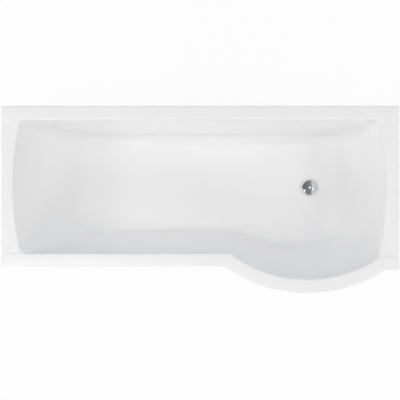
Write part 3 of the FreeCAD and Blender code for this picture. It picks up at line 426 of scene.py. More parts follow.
def dress(node, material, edge_round=0):
    """Gives a solid its finish and, where asked, rounds its edges."""
    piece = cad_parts[node]
    piece.data.materials.clear()
    piece.data.materials.append(material)
    if edge_round:
        piece.modifiers.new("joined", "WELD").merge_threshold = TOUCHING
        plain = piece.modifiers.new("plain_faces", "DECIMATE")
        plain.decimate_type = "DISSOLVE"
        plain.angle_limit = math.radians(FLAT_ANGLE)
        rounding = piece.modifiers.new("edge_round", "BEVEL")
        rounding.width = edge_round * MM
        rounding.segments = EDGE_SEGMENTS
        rounding.limit_method = "ANGLE"
        rounding.angle_limit = math.radians(EDGE_ANGLE)
        rounding.harden_normals = True


# Finishes


# Sockets of a colour mix go by number, because several of them share a name.
MIX_SHARE = 0
MIX_FROM = 6
MIX_TO = 7
MIX_COLOUR = 2

# A wave texture repeats every 20th part of a turn's length, at a scale of 1.
WAVE_LENGTH = math.tau / 20


def paint(code):
    """Linear colour of an sRGB hex value."""
    parts = [int(code[i:i + 2], 16) / 255 for i in (1, 3, 5)]
    linear = [part / 12.92 if part <= 0.04045 else ((part + 0.055) / 1.055) ** 2.4 for part in parts]
    return (*linear, 1)


def per(size):
    """Scale of a pattern whose features measure a size."""
    return 1 / (size * MM)


def add(tree, kind, inputs=None, **settings):
    """Adds a node with its settings, and fills its inputs with values or with links from other nodes."""
    made = tree.nodes.new(kind)
    for name, value in settings.items():
        setattr(made, name, value)
    for name, value in (inputs or {}).items():
        if isinstance(value, bpy.types.NodeSocket):
            tree.links.new(value, made.inputs[name])
        else:
            made.inputs[name].default_value = value
    return made


def new_finish(name):
    """Empty material, its node tree and the piece's own coordinates."""
    material = bpy.data.materials.new(name)
    material.use_nodes = True
    tree = material.node_tree
    tree.nodes.clear()
    return material, tree, add(tree, "ShaderNodeTexCoord").outputs["Object"]


def cast_acrylic():
    """White cast acrylic sheet, drawn hot over a mould: a clean gloss with a faint long ripple."""
    material, tree, place = new_finish("white_cast_acrylic")
    cloud = add(tree, "ShaderNodeTexNoise", {"Vector": place, "Scale": per(240), "Detail": 2.0})
    white = add(tree, "ShaderNodeMix", {
        MIX_SHARE: cloud.outputs["Fac"], MIX_FROM: paint("#F7F7F7"), MIX_TO: paint("#FAFAFA")},
        data_type="RGBA")
    wiped = add(tree, "ShaderNodeTexNoise", {"Vector": place, "Scale": per(45), "Detail": 3.0})
    gloss = add(tree, "ShaderNodeMapRange", {"Value": wiped.outputs["Fac"], "To Min": 0.16, "To Max": 0.26})
    ripple = add(tree, "ShaderNodeTexNoise", {"Vector": place, "Scale": per(120), "Detail": 0.0})
    bump = add(tree, "ShaderNodeBump", {
        "Height": ripple.outputs["Fac"], "Distance": 0.25 * MM, "Strength": 0.5})
    shader = add(tree, "ShaderNodeBsdfPrincipled", {
        "Base Color": white.outputs[MIX_COLOUR], "Roughness": gloss.outputs["Result"], "IOR": 1.49,
        "Normal": bump.outputs["Normal"]})
    add(tree, "ShaderNodeOutputMaterial", {"Surface": shader.outputs["BSDF"]})
    return material


# Length and thickness of a bundle of glass strands, and how each layer of strands is turned, in radians.
STRAND_SIZE = (38 * MM, 2.2 * MM, 2.2 * MM)
STRAND_TURNS = ((0, 0, 0.3), (0, 0.5, 1.35), (0.6, 0, 2.4), (1.2, 0.9, 0.9), (0.3, 1.2, 2.0))


def strand_laminate():
    """Chopped glass strands in resin, sprayed and rolled: dull straw white with a tangle of pale strands."""
    material, tree, place = new_finish("sprayed_glass_fibre")
    tangle = 0.0
    for turn in STRAND_TURNS:
        laid = add(tree, "ShaderNodeMapping", {"Vector": place, "Rotation": turn, "Scale": STRAND_SIZE},
                   vector_type="TEXTURE")
        strands = add(tree, "ShaderNodeTexNoise", {
            "Vector": laid.outputs["Vector"], "Scale": 1.0, "Detail": 1.0})
        tangle = add(tree, "ShaderNodeMath", {0: tangle, 1: strands.outputs["Fac"]},
                     operation="MAXIMUM").outputs["Value"]
    picked = add(tree, "ShaderNodeMapRange", {"Value": tangle, "From Min": 0.52, "From Max": 0.80})
    straw = add(tree, "ShaderNodeMix", {
        MIX_SHARE: picked.outputs["Result"], MIX_FROM: paint("#C9C4AE"), MIX_TO: paint("#E9E6DA")},
        data_type="RGBA")
    bump = add(tree, "ShaderNodeBump", {
        "Height": picked.outputs["Result"], "Distance": 0.6 * MM, "Strength": 0.7})
    shader = add(tree, "ShaderNodeBsdfPrincipled", {
        "Base Color": straw.outputs[MIX_COLOUR], "Roughness": 0.55, "IOR": 1.55,
        "Normal": bump.outputs["Normal"]})
    add(tree, "ShaderNodeOutputMaterial", {"Surface": shader.outputs["BSDF"]})
    return material


def chipboard():
    """Raw chipboard: pressed flakes of several browns."""
    material, tree, place = new_finish("raw_chipboard")
    flakes = add(tree, "ShaderNodeTexVoronoi", {"Vector": place, "Scale": per(5)})
    browns = add(tree, "ShaderNodeMix", {
        MIX_SHARE: flakes.outputs["Distance"], MIX_FROM: paint("#C9A878"), MIX_TO: paint("#8C6A41")},
        data_type="RGBA")
    bump = add(tree, "ShaderNodeBump", {
        "Height": flakes.outputs["Distance"], "Distance": 0.4 * MM, "Strength": 0.6})
    shader = add(tree, "ShaderNodeBsdfPrincipled", {
        "Base Color": browns.outputs[MIX_COLOUR], "Roughness": 0.85, "Normal": bump.outputs["Normal"]})
    add(tree, "ShaderNodeOutputMaterial", {"Surface": shader.outputs["BSDF"]})
    return material


def sawn_pine(name, grain_size, grain_axis):
    """Sawn softwood: pale yellow-brown with darker grain along the batten and fine saw marks across it."""
    material, tree, place = new_finish(name)
    along = add(tree, "ShaderNodeMapping", {"Vector": place, "Scale": [per(size) for size in grain_size]})
    grain = add(tree, "ShaderNodeTexNoise", {
        "Vector": along.outputs["Vector"], "Scale": 1.0, "Detail": 4.0, "Distortion": 0.6})
    wood = add(tree, "ShaderNodeMix", {
        MIX_SHARE: grain.outputs["Fac"], MIX_FROM: paint("#A87C4A"), MIX_TO: paint("#E2C79B")},
        data_type="RGBA")
    saw = add(tree, "ShaderNodeTexWave", {"Vector": place, "Scale": WAVE_LENGTH * per(4), "Distortion": 1.5},
              bands_direction=grain_axis)
    bump = add(tree, "ShaderNodeBump", {
        "Height": saw.outputs["Fac"], "Distance": 0.25 * MM, "Strength": 0.5})
    shader = add(tree, "ShaderNodeBsdfPrincipled", {
        "Base Color": wood.outputs[MIX_COLOUR], "Roughness": 0.78, "Normal": bump.outputs["Normal"]})
    add(tree, "ShaderNodeOutputMaterial", {"Surface": shader.outputs["BSDF"]})
    return material


def zinc_sheet():
    """Zinc-coated pressed steel: cool grey with a soft spangle and a dull shine."""
    material, tree, place = new_finish("zinc_coated_steel")
    spangle = add(tree, "ShaderNodeTexVoronoi", {"Vector": place, "Scale": per(11)})
    greys = add(tree, "ShaderNodeMix", {
        MIX_SHARE: spangle.outputs["Color"], MIX_FROM: paint("#9DA2A6"), MIX_TO: paint("#C6CACD")},
        data_type="RGBA")
    dulled = add(tree, "ShaderNodeTexNoise", {"Vector": place, "Scale": per(9), "Detail": 4.0})
    gloss = add(tree, "ShaderNodeMapRange", {"Value": dulled.outputs["Fac"], "To Min": 0.30, "To Max": 0.52})
    bump = add(tree, "ShaderNodeBump", {
        "Height": dulled.outputs["Fac"], "Distance": 0.05 * MM, "Strength": 0.5})
    shader = add(tree, "ShaderNodeBsdfPrincipled", {
        "Base Color": greys.outputs[MIX_COLOUR], "Metallic": 1.0, "Roughness": gloss.outputs["Result"],
        "Normal": bump.outputs["Normal"]})
    add(tree, "ShaderNodeOutputMaterial", {"Surface": shader.outputs["BSDF"]})
    return material


def plated_metal(name, dark, light, blotch, smooth, rough):
    """Plating or drawn wire: a metal whose tint and shine both shift in soft blotches of a size."""
    material, tree, place = new_finish(name)
    blotches = add(tree, "ShaderNodeTexNoise", {"Vector": place, "Scale": per(blotch), "Detail": 3.0})
    tint = add(tree, "ShaderNodeMix", {
        MIX_SHARE: blotches.outputs["Fac"], MIX_FROM: paint(dark), MIX_TO: paint(light)}, data_type="RGBA")
    gloss = add(tree, "ShaderNodeMapRange", {
        "Value": blotches.outputs["Fac"], "To Min": smooth, "To Max": rough})
    shader = add(tree, "ShaderNodeBsdfPrincipled", {
        "Base Color": tint.outputs[MIX_COLOUR], "Metallic": 1.0, "Roughness": gloss.outputs["Result"]})
    add(tree, "ShaderNodeOutputMaterial", {"Surface": shader.outputs["BSDF"]})
    return material


def moulded(name, dark, light, grain, depth, smooth, rough):
    """Moulded plastic, foam or rubber: a skin with a fine grain of a size and a depth."""
    material, tree, place = new_finish(name)
    skin = add(tree, "ShaderNodeTexNoise", {"Vector": place, "Scale": per(grain), "Detail": 3.0})
    tones = add(tree, "ShaderNodeMix", {
        MIX_SHARE: skin.outputs["Fac"], MIX_FROM: paint(dark), MIX_TO: paint(light)}, data_type="RGBA")
    gloss = add(tree, "ShaderNodeMapRange", {
        "Value": skin.outputs["Fac"], "To Min": smooth, "To Max": rough})
    bump = add(tree, "ShaderNodeBump", {
        "Height": skin.outputs["Fac"], "Distance": depth * MM, "Strength": 0.6})
    shader = add(tree, "ShaderNodeBsdfPrincipled", {
        "Base Color": tones.outputs[MIX_COLOUR], "Roughness": gloss.outputs["Result"],
        "Normal": bump.outputs["Normal"]})
    add(tree, "ShaderNodeOutputMaterial", {"Surface": shader.outputs["BSDF"]})
    return material


ACRYLIC = cast_acrylic()
LAMINATE = strand_laminate()
CHIPBOARD = chipboard()
PINE_ALONG = sawn_pine("sawn_pine_along", (260, 7, 7), "X")
PINE_ACROSS = sawn_pine("sawn_pine_across", (7, 260, 7), "Y")
ZINC_SHEET = zinc_sheet()

# Warm and unevenly tinted on the screws, bluish silver on studs and nuts, a sharp cool mirror on the waste.
YELLOW_ZINC = plated_metal("yellow_passivated_zinc", "#B69A4E", "#DCCB8E", 3, 0.22, 0.40)
BRIGHT_ZINC = plated_metal("bright_zinc_plate", "#AEB4BA", "#CDD2D6", 4, 0.20, 0.38)
CHROME = plated_metal("polished_chrome_plate", "#C2C4C6", "#CACCCE", 18, 0.04, 0.10)
SPRING_WIRE = plated_metal("drawn_spring_steel", "#8E9193", "#B4B7B9", 0.8, 0.25, 0.40)

# A soft sheen on the feet and the back nut, matt on rubber and foam, smoother on the push mechanism.
NYLON = moulded("black_moulded_nylon", "#161617", "#212123", 1.2, 0.08, 0.34, 0.50)
RUBBER = moulded("black_sealing_rubber", "#131313", "#1C1B1A", 2.0, 0.08, 0.54, 0.70)
FOAM = moulded("white_cell_foam", "#DCDCD8", "#F0F0EC", 1.0, 0.25, 0.74, 0.86)
ACETAL = moulded("white_moulded_acetal", "#E4E4DF", "#EFEFEB", 6.0, 0.04, 0.30, 0.42)


# Acrylic sheet and its glass fibre back

# The skins are drawn this much thinner than they are, so that their faces don't lie on one another.
SHEET_GAP = 0.1
GLASS_GAP = 0.2

BACKING_INSET = SHEET + 1
BACKING_BEVEL = 1
BACKING_FILLET = 5
FILLET_STEPS = 4
BACKING_DISH_EDGE = DISH_EDGE + 8
BACKING_DISH_FOOT = DISH_FOOT + 11
SPRAY_DEPTH = 0.5
SPRAY_SIZE = 60


def floor_rings(last_ring, offset, edge, foot, drop):
    """Rings from the last level ring over the floor, down into the dish and to the hole of the waste."""
    bottom = DEPTH + offset
    under = bmesh.new()
    depths = [bottom - (DEPTH - depth) for depth in WALL_DEPTHS[-LOW_RINGS:] + COVE_END_DEPTHS]
    edges = sleeve(under, [basin_ring(depth, offset) for depth in depths])
    bmesh.ops.contextual_create(under, geom=edges)
    surface = BVHTree.FromBMesh(under)
    under.free()

    def dropped(spot):
        """The point of the floor or its coves straight under a spot."""
        return surface.ray_cast(Vector((spot.x, spot.y, RIM * MM)), Vector((0, 0, -1)))[0]

    waste = WASTE.xy * MM
    spokes = [(point.xy - waste).normalized() for point in last_ring]
    rings = []
    for share in FLOOR_SHARES:
        rings.append([dropped(point.xy.lerp(waste + spoke * edge * MM, share))
                      for point, spoke in zip(last_ring, spokes)])
    dish = (RIM - bottom - drop) * MM
    for step in range(1, DISH_STEPS + 1):
        share = step / DISH_STEPS
        sunk = share * share * (3 - 2 * share)
        radius = edge + (foot - edge) * share
        spots = [dropped(waste + spoke * radius * MM) for spoke in spokes]
        rings.append([Vector((spot.x, spot.y, spot.z + (dish - spot.z) * sunk)) for spot in spots])
    hole = [waste + spoke * WASTE_HOLE * MM for spoke in spokes]
    rings.append([Vector((spot.x, spot.y, dish)) for spot in hole])
    return rings


def lower_decks(bm):
    """Sinks the decks at both ends of the rim towards the basin, with a step along the long rims."""
    top = RIM * MM
    for deck in DECKS:
        side = 1 if deck["outer"] > 0 else -1
        for line in (deck["back"], deck["back"] - DECK_STEP, deck["front"], deck["front"] + DECK_STEP):
            faces = [face for face in bm.faces
                     if face.calc_center_median().x * side > abs(deck["basin"]) * MM
                     and all(abs(vert.co.z - top) < TOUCHING for vert in face.verts)]
            edges = {edge for face in faces for edge in face.edges}
            verts = {vert for face in faces for vert in face.verts}
            bmesh.ops.bisect_plane(bm, geom=faces + list(edges) + list(verts), dist=TOUCHING,
                                   plane_co=(0, line * MM, 0), plane_no=(0, 1, 0))
    for vert in bm.verts:
        spot, depth = vert.co / MM, (top - vert.co.z) / MM
        for deck in DECKS:
            slope = within((spot.x - deck["outer"]) / (deck["inner"] - deck["outer"]))
            from_basin = (spot.x - deck["basin"]) / (deck["inner"] - deck["basin"])
            near_end = within(from_basin * DECK_END_RATE)
            step = within((deck["back"] - spot.y) / DECK_STEP) * within((spot.y - deck["front"]) / DECK_STEP)
            fade = within((DECK_FADE - depth) / (DECK_FADE - RIM_ROLL))
            vert.co.z -= DECK_FALL * MM * slope * near_end * step * fade


def within(share):
    """A share held between nothing and all."""
    return min(max(share, 0), 1)


def make_acrylic_shell():
    """The sheet, from the foot of its lip over the rim and down to the waste, with its thickness."""
    lip = [rim_ring(0, RIM - LIP_DEPTH)]
    for step in range(LIP_STEPS + 1):
        angle = math.pi / 2 * step / LIP_STEPS
        lip.append(rim_ring(LIP_ROUND * (1 - math.cos(angle)), RIM - LIP_ROUND * (1 - math.sin(angle))))
    turns = [math.pi / 2 * step / ROLL_STEPS for step in range(ROLL_STEPS + 1)]
    roll = [basin_ring(RIM_ROLL * (1 - math.cos(turn)), 0, True) for turn in turns]
    walls = [basin_ring(depth) for depth in WALL_DEPTHS]
    bm = bmesh.new()
    sleeve(bm, lip + roll + walls + floor_rings(walls[-1], 0, DISH_EDGE, DISH_FOOT, DISH_DROP))
    lower_decks(bm)
    face_up(bm, True)
    shell = make_piece("bath_sheet", bm, ACRYLIC, "bath", ["acrylic_shell"])
    thicken(shell, SHEET - SHEET_GAP)


def make_backing():
    """The glass fibre's outer side, from under the rim down to the waste, uneven as it is sprayed."""
    under = RIM - BACKED
    plate = [rim_ring(BACKING_INSET, RIM - SHEET), rim_ring(BACKING_INSET, under + BACKING_BEVEL),
             rim_ring(BACKING_INSET + BACKING_BEVEL, under)]
    corner = []
    for step in range(FILLET_STEPS + 1):
        turn = math.pi / 2 * step / FILLET_STEPS
        corner.append(basin_ring(BACKED + BACKING_FILLET * (1 - math.cos(turn)),
                                 BACKED + BACKING_FILLET * (1 - math.sin(turn))))
    walls = [basin_ring(depth + BACKED, BACKED) for depth in WALL_DEPTHS]
    bm = bmesh.new()
    floor = floor_rings(walls[-1], BACKED, BACKING_DISH_EDGE, BACKING_DISH_FOOT, DISH_DROP)
    sleeve(bm, plate + corner + walls + floor)
    face_up(bm, False)
    for vert in bm.verts:
        vert.co += vert.normal * SPRAY_DEPTH * MM * noise.noise(vert.co * per(SPRAY_SIZE))
    backing = make_piece("glass_fibre_back", bm, LAMINATE, "bath", ["glassfibre_backing"])
    thicken(backing, GLASS - GLASS_GAP)


# Threads, nuts and screws

THREAD_STEPS = 24
STUD_PITCH = 1.75
STUD_ROOT_DROP = 1.07
STUD_CHAMFER = 1.2
NUT_ACROSS = 19
NUT_HEIGHT = 10
NUT_BORE = 6.1
NUT_BORE_CHAMFER = 0.8
NUT_FACE_SHARE = 0.95
NUT_CHAMFER_ANGLE = 30
NUT_POINTS = 72
SCREW_HEAD = 5
SCREW_HEAD_HEIGHT = 3
SCREW_SHANK = 2.4
SCREW_LENGTH = 16
SCREW_POINT = 4
SCREW_POINTS = 24
SCREW_EDGE = 45
SCREWS_IN_ROW = 4
WALL_SCREW_HALF_PITCH = 12

# Dome of a screw's head, which points down: shares of its radius, and how far each lies above its crown.
SCREW_DOME = ((1, 1.4), (0.93, 0.6), (0.80, 0.15), (0.68, 0))

# Cross recess: its share of the head, half the angle of a bar, the share left at its foot, and two depths.
RECESS_SHARE = 0.62
RECESS_BAR_ANGLE = 15
RECESS_FOOT_SHARE = 0.7
RECESS_DEPTH = 1.6
RECESS_TIP_DEPTH = 2.0


def threaded(bm, centre, low, high, crest, root, pitch):
    """Outside of a thread: its section is spun along one turn of a helix, repeated and cut to length."""
    section = [(crest, 0), (crest, pitch / 8), (root, pitch / 2), (root, pitch * 5 / 8), (crest, pitch)]
    start = Vector((centre.x, centre.y, low - pitch))
    verts = [bm.verts.new((start + Vector((radius, 0, rise))) * MM) for radius, rise in section]
    edges = [bm.edges.new(pair) for pair in zip(verts, verts[1:])]
    bmesh.ops.spin(bm, geom=verts + edges, cent=Vector((centre.x, centre.y, 0)) * MM, axis=(0, 0, 1),
                   dvec=(0, 0, pitch * MM / THREAD_STEPS), angle=math.tau, steps=THREAD_STEPS)
    turn = bm.verts[:] + bm.edges[:] + bm.faces[:]
    for number in range(1, math.ceil((high - low) / pitch) + 2):
        copied = bmesh.ops.duplicate(bm, geom=turn)["geom"]
        moved = [item for item in copied if isinstance(item, bmesh.types.BMVert)]
        bmesh.ops.translate(bm, verts=moved, vec=(0, 0, number * pitch * MM))
    bmesh.ops.remove_doubles(bm, verts=bm.verts, dist=TOUCHING)
    for height, outwards in ((low, -1), (high, 1)):
        bmesh.ops.bisect_plane(bm, geom=bm.verts[:] + bm.edges[:] + bm.faces[:], dist=TOUCHING,
                               plane_co=(0, 0, height * MM), plane_no=(0, 0, outwards), clear_outer=True)


def hexagon(half_across):
    """Reach of a hexagon from its middle at an angle, with a corner on the X axis."""
    return lambda angle: half_across / math.cos(angle % (math.pi / 3) - math.pi / 6)


def hexagon_nut(bm, centre, low, high, across, bore):
    """Nut with its corners turned off at both ends, as on a lathe."""
    half = across / 2
    reach = hexagon(half)
    face = half * NUT_FACE_SHARE
    mouth = bore + NUT_BORE_CHAMFER

    def turned_off(angle):
        """How far the chamfer has come down at the outside."""
        return (reach(angle) - face) * math.tan(math.radians(NUT_CHAMFER_ANGLE))

    outline = [
        (bore, low + NUT_BORE_CHAMFER),
        (mouth, low),
        (face, low),
        (reach, lambda angle: low + turned_off(angle)),
        (reach, lambda angle: high - turned_off(angle)),
        (face, high),
        (mouth, high),
        (bore, high - NUT_BORE_CHAMFER),
        (bore, low + NUT_BORE_CHAMFER),
    ]
    sleeve(bm, [radial_ring(centre, radius, level, NUT_POINTS) for radius, level in outline])


def cross(length, width):
    """Reach of a cross-shaped recess from its middle at an angle."""
    def reach(angle):
        along = max(abs(math.cos(angle)), 0.001)
        across = max(abs(math.sin(angle)), 0.001)
        return max(min(length / along, width / across), min(length / across, width / along))
    return reach


def wood_screw(bm, spot, seat):
    """Pan-head screw driven upwards, with a cross recess in its head."""
    recess = SCREW_HEAD * RECESS_SHARE
    bar = recess * math.tan(math.radians(RECESS_BAR_ANGLE))
    low = seat - SCREW_HEAD_HEIGHT
    tip = seat + SCREW_LENGTH
    outline = [
        (0, tip),
        (SCREW_SHANK, tip - SCREW_POINT),
        (SCREW_SHANK, seat),
        (SCREW_HEAD, seat),
        *((SCREW_HEAD * share, low + rise) for share, rise in SCREW_DOME),
        (cross(recess, bar), low),
        (cross(recess * RECESS_FOOT_SHARE, bar * RECESS_FOOT_SHARE), low + RECESS_DEPTH),
        (0, low + RECESS_TIP_DEPTH),
    ]
    sleeve(bm, [radial_ring(spot, radius, level, SCREW_POINTS) for radius, level in outline])


def make_screws(node, spots):
    """All the screws of one kind, seated where their solids are."""
    seat = corners_of(node)[0].z + SCREW_HEAD_HEIGHT
    bm = bmesh.new()
    for spot in spots:
        wood_screw(bm, Vector(spot), seat)
    close_seams(bm)
    make_piece(node.replace("_screws", "_cross_screws"), bm, YELLOW_ZINC, "bath", [node])


def make_all_screws():
    low, high = corners_of("baseboard")
    pitch = (high.y - low.y - 2 * SCREW_EDGE) / (SCREWS_IN_ROW - 1)
    rows = [low.y + SCREW_EDGE + pitch * number for number in range(SCREWS_IN_ROW)]
    lines = [middle_of(bearer).x for bearer in ("bearer_head", "bearer_tap")]
    make_screws("bearer_screws", [(x, y) for x in lines for y in rows])
    low, high = corners_of("centre_bracket_screws")
    make_screws("centre_bracket_screws", [(x, y) for x in (low.x + SCREW_HEAD, high.x - SCREW_HEAD)
                                          for y in (low.y + SCREW_HEAD, high.y - SCREW_HEAD)])
    row = middle_of("wall_bracket_screws").y
    make_screws("wall_bracket_screws", [(middle_of(f"wall_bracket_{side}").x + step, row)
                                        for side in ("left", "right")
                                        for step in (-WALL_SCREW_HALF_PITCH, WALL_SCREW_HALF_PITCH)])


# Adjustable feet

PAD_RIBS = 8
PAD_POINTS = 96
PAD_EDGE = 8
PAD_TOP = 13
PAD_SINK = 3
PAD_ROUND = 1.5
PAD_ROUND_CUT = 0.4
PAD_SHOULDER_IN = 0.6
PAD_SHOULDER_DOWN = 0.3
PAD_TOP_BEVEL = 0.5
RIB_LEVEL = 0.55
RIB_STEEPNESS = 5
STUD_FIT = 0.05

# How far up the cone of a foot, and how deep its skin lies there between the ribs, both as shares.
PAD_HOLLOWS = ((0.06, 0), (0.12, 0.8), (0.2, 1), (0.5, 1), (0.78, 1), (0.88, 0.6), (0.93, 0))


def make_stud(name):
    """Threaded stud with bevelled ends."""
    node = f"foot_stud_{name}"
    low, high = corners_of(node)
    centre, crest = (low + high) / 2, (high.x - low.x) / 2
    bm = bmesh.new()
    threaded(bm, centre, low.z, high.z, crest, crest - STUD_ROOT_DROP, STUD_PITCH)
    for vert in bm.verts:
        spot = vert.co / MM
        most = crest - STUD_CHAMFER + min(spot.z - low.z, high.z - spot.z)
        spoke = (spot - centre).xy
        if spoke.length > most:
            vert.co.xy = (centre.xy + spoke.normalized() * most) * MM
    bmesh.ops.holes_fill(bm, edges=[edge for edge in bm.edges if edge.is_boundary])
    close_seams(bm)
    make_piece(f"threaded_stud_{name}", bm, BRIGHT_ZINC, f"foot {name}", [node])


def ribbed(radius, sink):
    """Reach of a round with upright ribs, whose skin falls in between them."""
    def reach(angle):
        wave = 0.5 + 0.5 * math.cos(PAD_RIBS * angle)
        return radius - sink * (1 - within((wave - RIB_LEVEL) * RIB_STEEPNESS))
    return reach


def make_pad(name):
    """Moulded foot: a round base and a cone with ribs, and a socket for the stud."""
    node = f"foot_pad_{name}"
    low, high = corners_of(node)
    stud_low, stud_high = corners_of(f"foot_stud_{name}")
    base, bore = (high.x - low.x) / 2, (stud_high.x - stud_low.x) / 2 + STUD_FIT
    outline = [(0, low.z), (base - PAD_ROUND, low.z), (base - PAD_ROUND_CUT, low.z + PAD_ROUND_CUT),
               (base, low.z + PAD_ROUND), (base, PAD_EDGE - PAD_ROUND),
               (base - PAD_SHOULDER_IN, PAD_EDGE - PAD_SHOULDER_DOWN)]
    for share, sunk in PAD_HOLLOWS:
        radius = base + (PAD_TOP - base) * share
        outline.append((ribbed(radius, PAD_SINK * sunk), PAD_EDGE + (high.z - PAD_EDGE) * share))
    outline += [(PAD_TOP, high.z - PAD_TOP_BEVEL), (PAD_TOP - PAD_TOP_BEVEL, high.z), (bore, high.z),
                (bore, stud_low.z), (0, stud_low.z)]
    centre = (low + high) / 2
    bm = bmesh.new()
    sleeve(bm, [radial_ring(centre, radius, level, PAD_POINTS) for radius, level in outline])
    close_seams(bm)
    make_piece(f"moulded_foot_{name}", bm, NYLON, f"foot {name}", [node])


def make_nuts(name):
    """Pair of nuts that clamp the stud to the steel."""
    node = f"foot_nuts_{name}"
    low, high = corners_of(node)
    bm = bmesh.new()
    for bottom in (low.z, high.z - NUT_HEIGHT):
        hexagon_nut(bm, (low + high) / 2, bottom, bottom + NUT_HEIGHT, NUT_ACROSS, NUT_BORE)
    close_seams(bm)
    make_piece(f"hexagon_nuts_{name}", bm, BRIGHT_ZINC, f"nuts {name}", [node])


# Push-to-open waste

TURNED_STEPS = 96
PLUG_EDGE = 2
PLUG_EDGE_ROUND = 0.9
PLUG_EDGE_SWEEP = (-90, 40)
PLUG_EDGE_STEPS = 5
DOME_STEPS = 24
PLUG_GAP = 0.4
PLUG_SPIGOT = 19
SPIGOT_CHAMFER = 0.5
FLANGE_THICKNESS = 3
FLANGE_ROUND = 1.6
FLANGE_STEPS = 6
FLANGE_BEVEL = 0.3
MOUTH = 27
MOUTH_ROUND = 1.2
MOUTH_SWEEP = (90, 142)
MOUTH_STEPS = 4
MOUTH_DEPTH = 9
TAIL = 23.9
TAIL_BORE = 20
TAIL_PITCH = 2.31
TAIL_ROOT_DROP = 1.3
OUTLET_LENGTH = 34
RELIEF_WIDTH = 2
RELIEF_DEPTH = 0.8
SPIDER_DROP = 22
SPIDER_HEIGHT = 8
SPIDER_BAR = 3
SPIDER_OVERLAP = 1
HUB = 9
HUB_EYE = 6.55
BACK_NUT_ACROSS = 66
BACK_NUT_BORE = 23.95


def make_plug():
    """Domed plug with a rounded edge and a spigot under it."""
    low, high = corners_of("waste_plug")
    radius = (high.x - low.x) / 2
    seat = corners_of("waste_body")[1].z + PLUG_GAP
    rise = high.z - seat - PLUG_EDGE
    ball = (radius ** 2 + rise ** 2) / (2 * rise)
    edge = radius - PLUG_EDGE_ROUND
    outline = [(0, low.z), (PLUG_SPIGOT - SPIGOT_CHAMFER, low.z), (PLUG_SPIGOT, low.z + SPIGOT_CHAMFER),
               (PLUG_SPIGOT, seat)]
    outline += arc(edge, seat + PLUG_EDGE_ROUND, PLUG_EDGE_ROUND, *PLUG_EDGE_SWEEP, PLUG_EDGE_STEPS)
    outline += arc(0, high.z - ball, ball, math.degrees(math.acos(edge / ball)), 90, DOME_STEPS)
    bm = bmesh.new()
    turned(bm, outline, WASTE, TURNED_STEPS)
    close_seams(bm)
    make_piece("domed_plug", bm, CHROME, "plug", ["waste_plug"])


def make_waste_body():
    """Flange, cone and bore in one turning, with a threaded tail and cross bars that carry the plug."""
    low, high = corners_of("waste_body")
    flange = (high.x - low.x) / 2
    under = high.z - FLANGE_THICKNESS
    thread_end = low.z + OUTLET_LENGTH
    relief_end = thread_end + RELIEF_WIDTH
    bm = bmesh.new()
    threaded(bm, WASTE, low.z, thread_end, TAIL, TAIL - TAIL_ROOT_DROP, TAIL_PITCH)
    outline = [(TAIL - RELIEF_DEPTH, thread_end), (TAIL - RELIEF_DEPTH, relief_end),
               (TAIL, relief_end + RELIEF_DEPTH), (TAIL, under), (flange - FLANGE_BEVEL, under)]
    outline += arc(flange - FLANGE_ROUND, high.z - FLANGE_ROUND, FLANGE_ROUND, 0, 90, FLANGE_STEPS)
    outline += arc(MOUTH + MOUTH_ROUND, high.z - MOUTH_ROUND, MOUTH_ROUND, *MOUTH_SWEEP, MOUTH_STEPS)
    outline += [(TAIL_BORE, high.z - MOUTH_DEPTH), (TAIL_BORE, low.z)]
    turned(bm, outline, WASTE, TURNED_STEPS)
    bmesh.ops.remove_doubles(bm, verts=bm.verts, dist=TOUCHING)
    for level in (low.z, thread_end):
        bmesh.ops.bridge_loops(bm, edges=open_edges(bm, level))
    top = high.z - SPIDER_DROP
    bottom = top - SPIDER_HEIGHT
    hub = [(HUB, bottom), (HUB, top), (HUB_EYE, top), (HUB_EYE, bottom), (HUB, bottom)]
    turned(bm, hub, WASTE, TURNED_STEPS)
    middle = Vector((WASTE.x, WASTE.y, (top + bottom) / 2))
    reach = TAIL_BORE - HUB + 2 * SPIDER_OVERLAP
    shift = HUB - SPIDER_OVERLAP + reach / 2
    for quarter in range(4):
        bar = bmesh.ops.create_cube(bm, size=MM)["verts"]
        bmesh.ops.scale(bm, verts=bar, vec=(reach, SPIDER_BAR, SPIDER_HEIGHT))
        bmesh.ops.translate(bm, verts=bar, vec=(shift * MM, 0, 0))
        bmesh.ops.rotate(bm, verts=bar, matrix=Matrix.Rotation(quarter * math.pi / 2, 3, "Z"))
        bmesh.ops.translate(bm, verts=bar, vec=middle * MM)
    close_seams(bm)
    make_piece("waste_fitting", bm, CHROME, "bath", ["waste_body"])


def make_back_nut():
    low, high = corners_of("back_nut")
    bm = bmesh.new()
    hexagon_nut(bm, WASTE, low.z, high.z, BACK_NUT_ACROSS, BACK_NUT_BORE)
    close_seams(bm)
    make_piece("waste_back_nut", bm, NYLON, "bath", ["back_nut"])


# Solids that keep their shape

LAMINATE_ROUND = 0.8
TIMBER_ROUND = 1.2
STEEL_ROUND = 0.6


def dress_solids():
    dress("baseboard", CHIPBOARD)
    dress("baseboard_laminate", LAMINATE, LAMINATE_ROUND)
    for batten in ("back", "front", "bow"):
        dress(f"rim_batten_{batten}", PINE_ALONG, TIMBER_ROUND)
    for batten in ("head", "tap"):
        dress(f"rim_batten_{batten}", PINE_ACROSS, TIMBER_ROUND)
    for node in ("bearer_head", "bearer_tap", "centre_bracket", "wall_bracket_left", "wall_bracket_right"):
        dress(node, ZINC_SHEET, STEEL_ROUND)
    dress("flange_seal", FOAM)
    dress("lower_washer", RUBBER)
    dress("plug_seal", RUBBER)
    dress("plug_plunger", ACETAL)
    dress("cartridge_sleeve", ACETAL)
    dress("cartridge_spring", SPRING_WIRE)


# Floor, light and camera

FLOOR_HALF = 20000
WORLD_LIGHT = 0.01

# Share of white where the camera looks at the floor. The rest is the floor itself, with the bath's shadow.
FLOOR_WHITE = 0.94

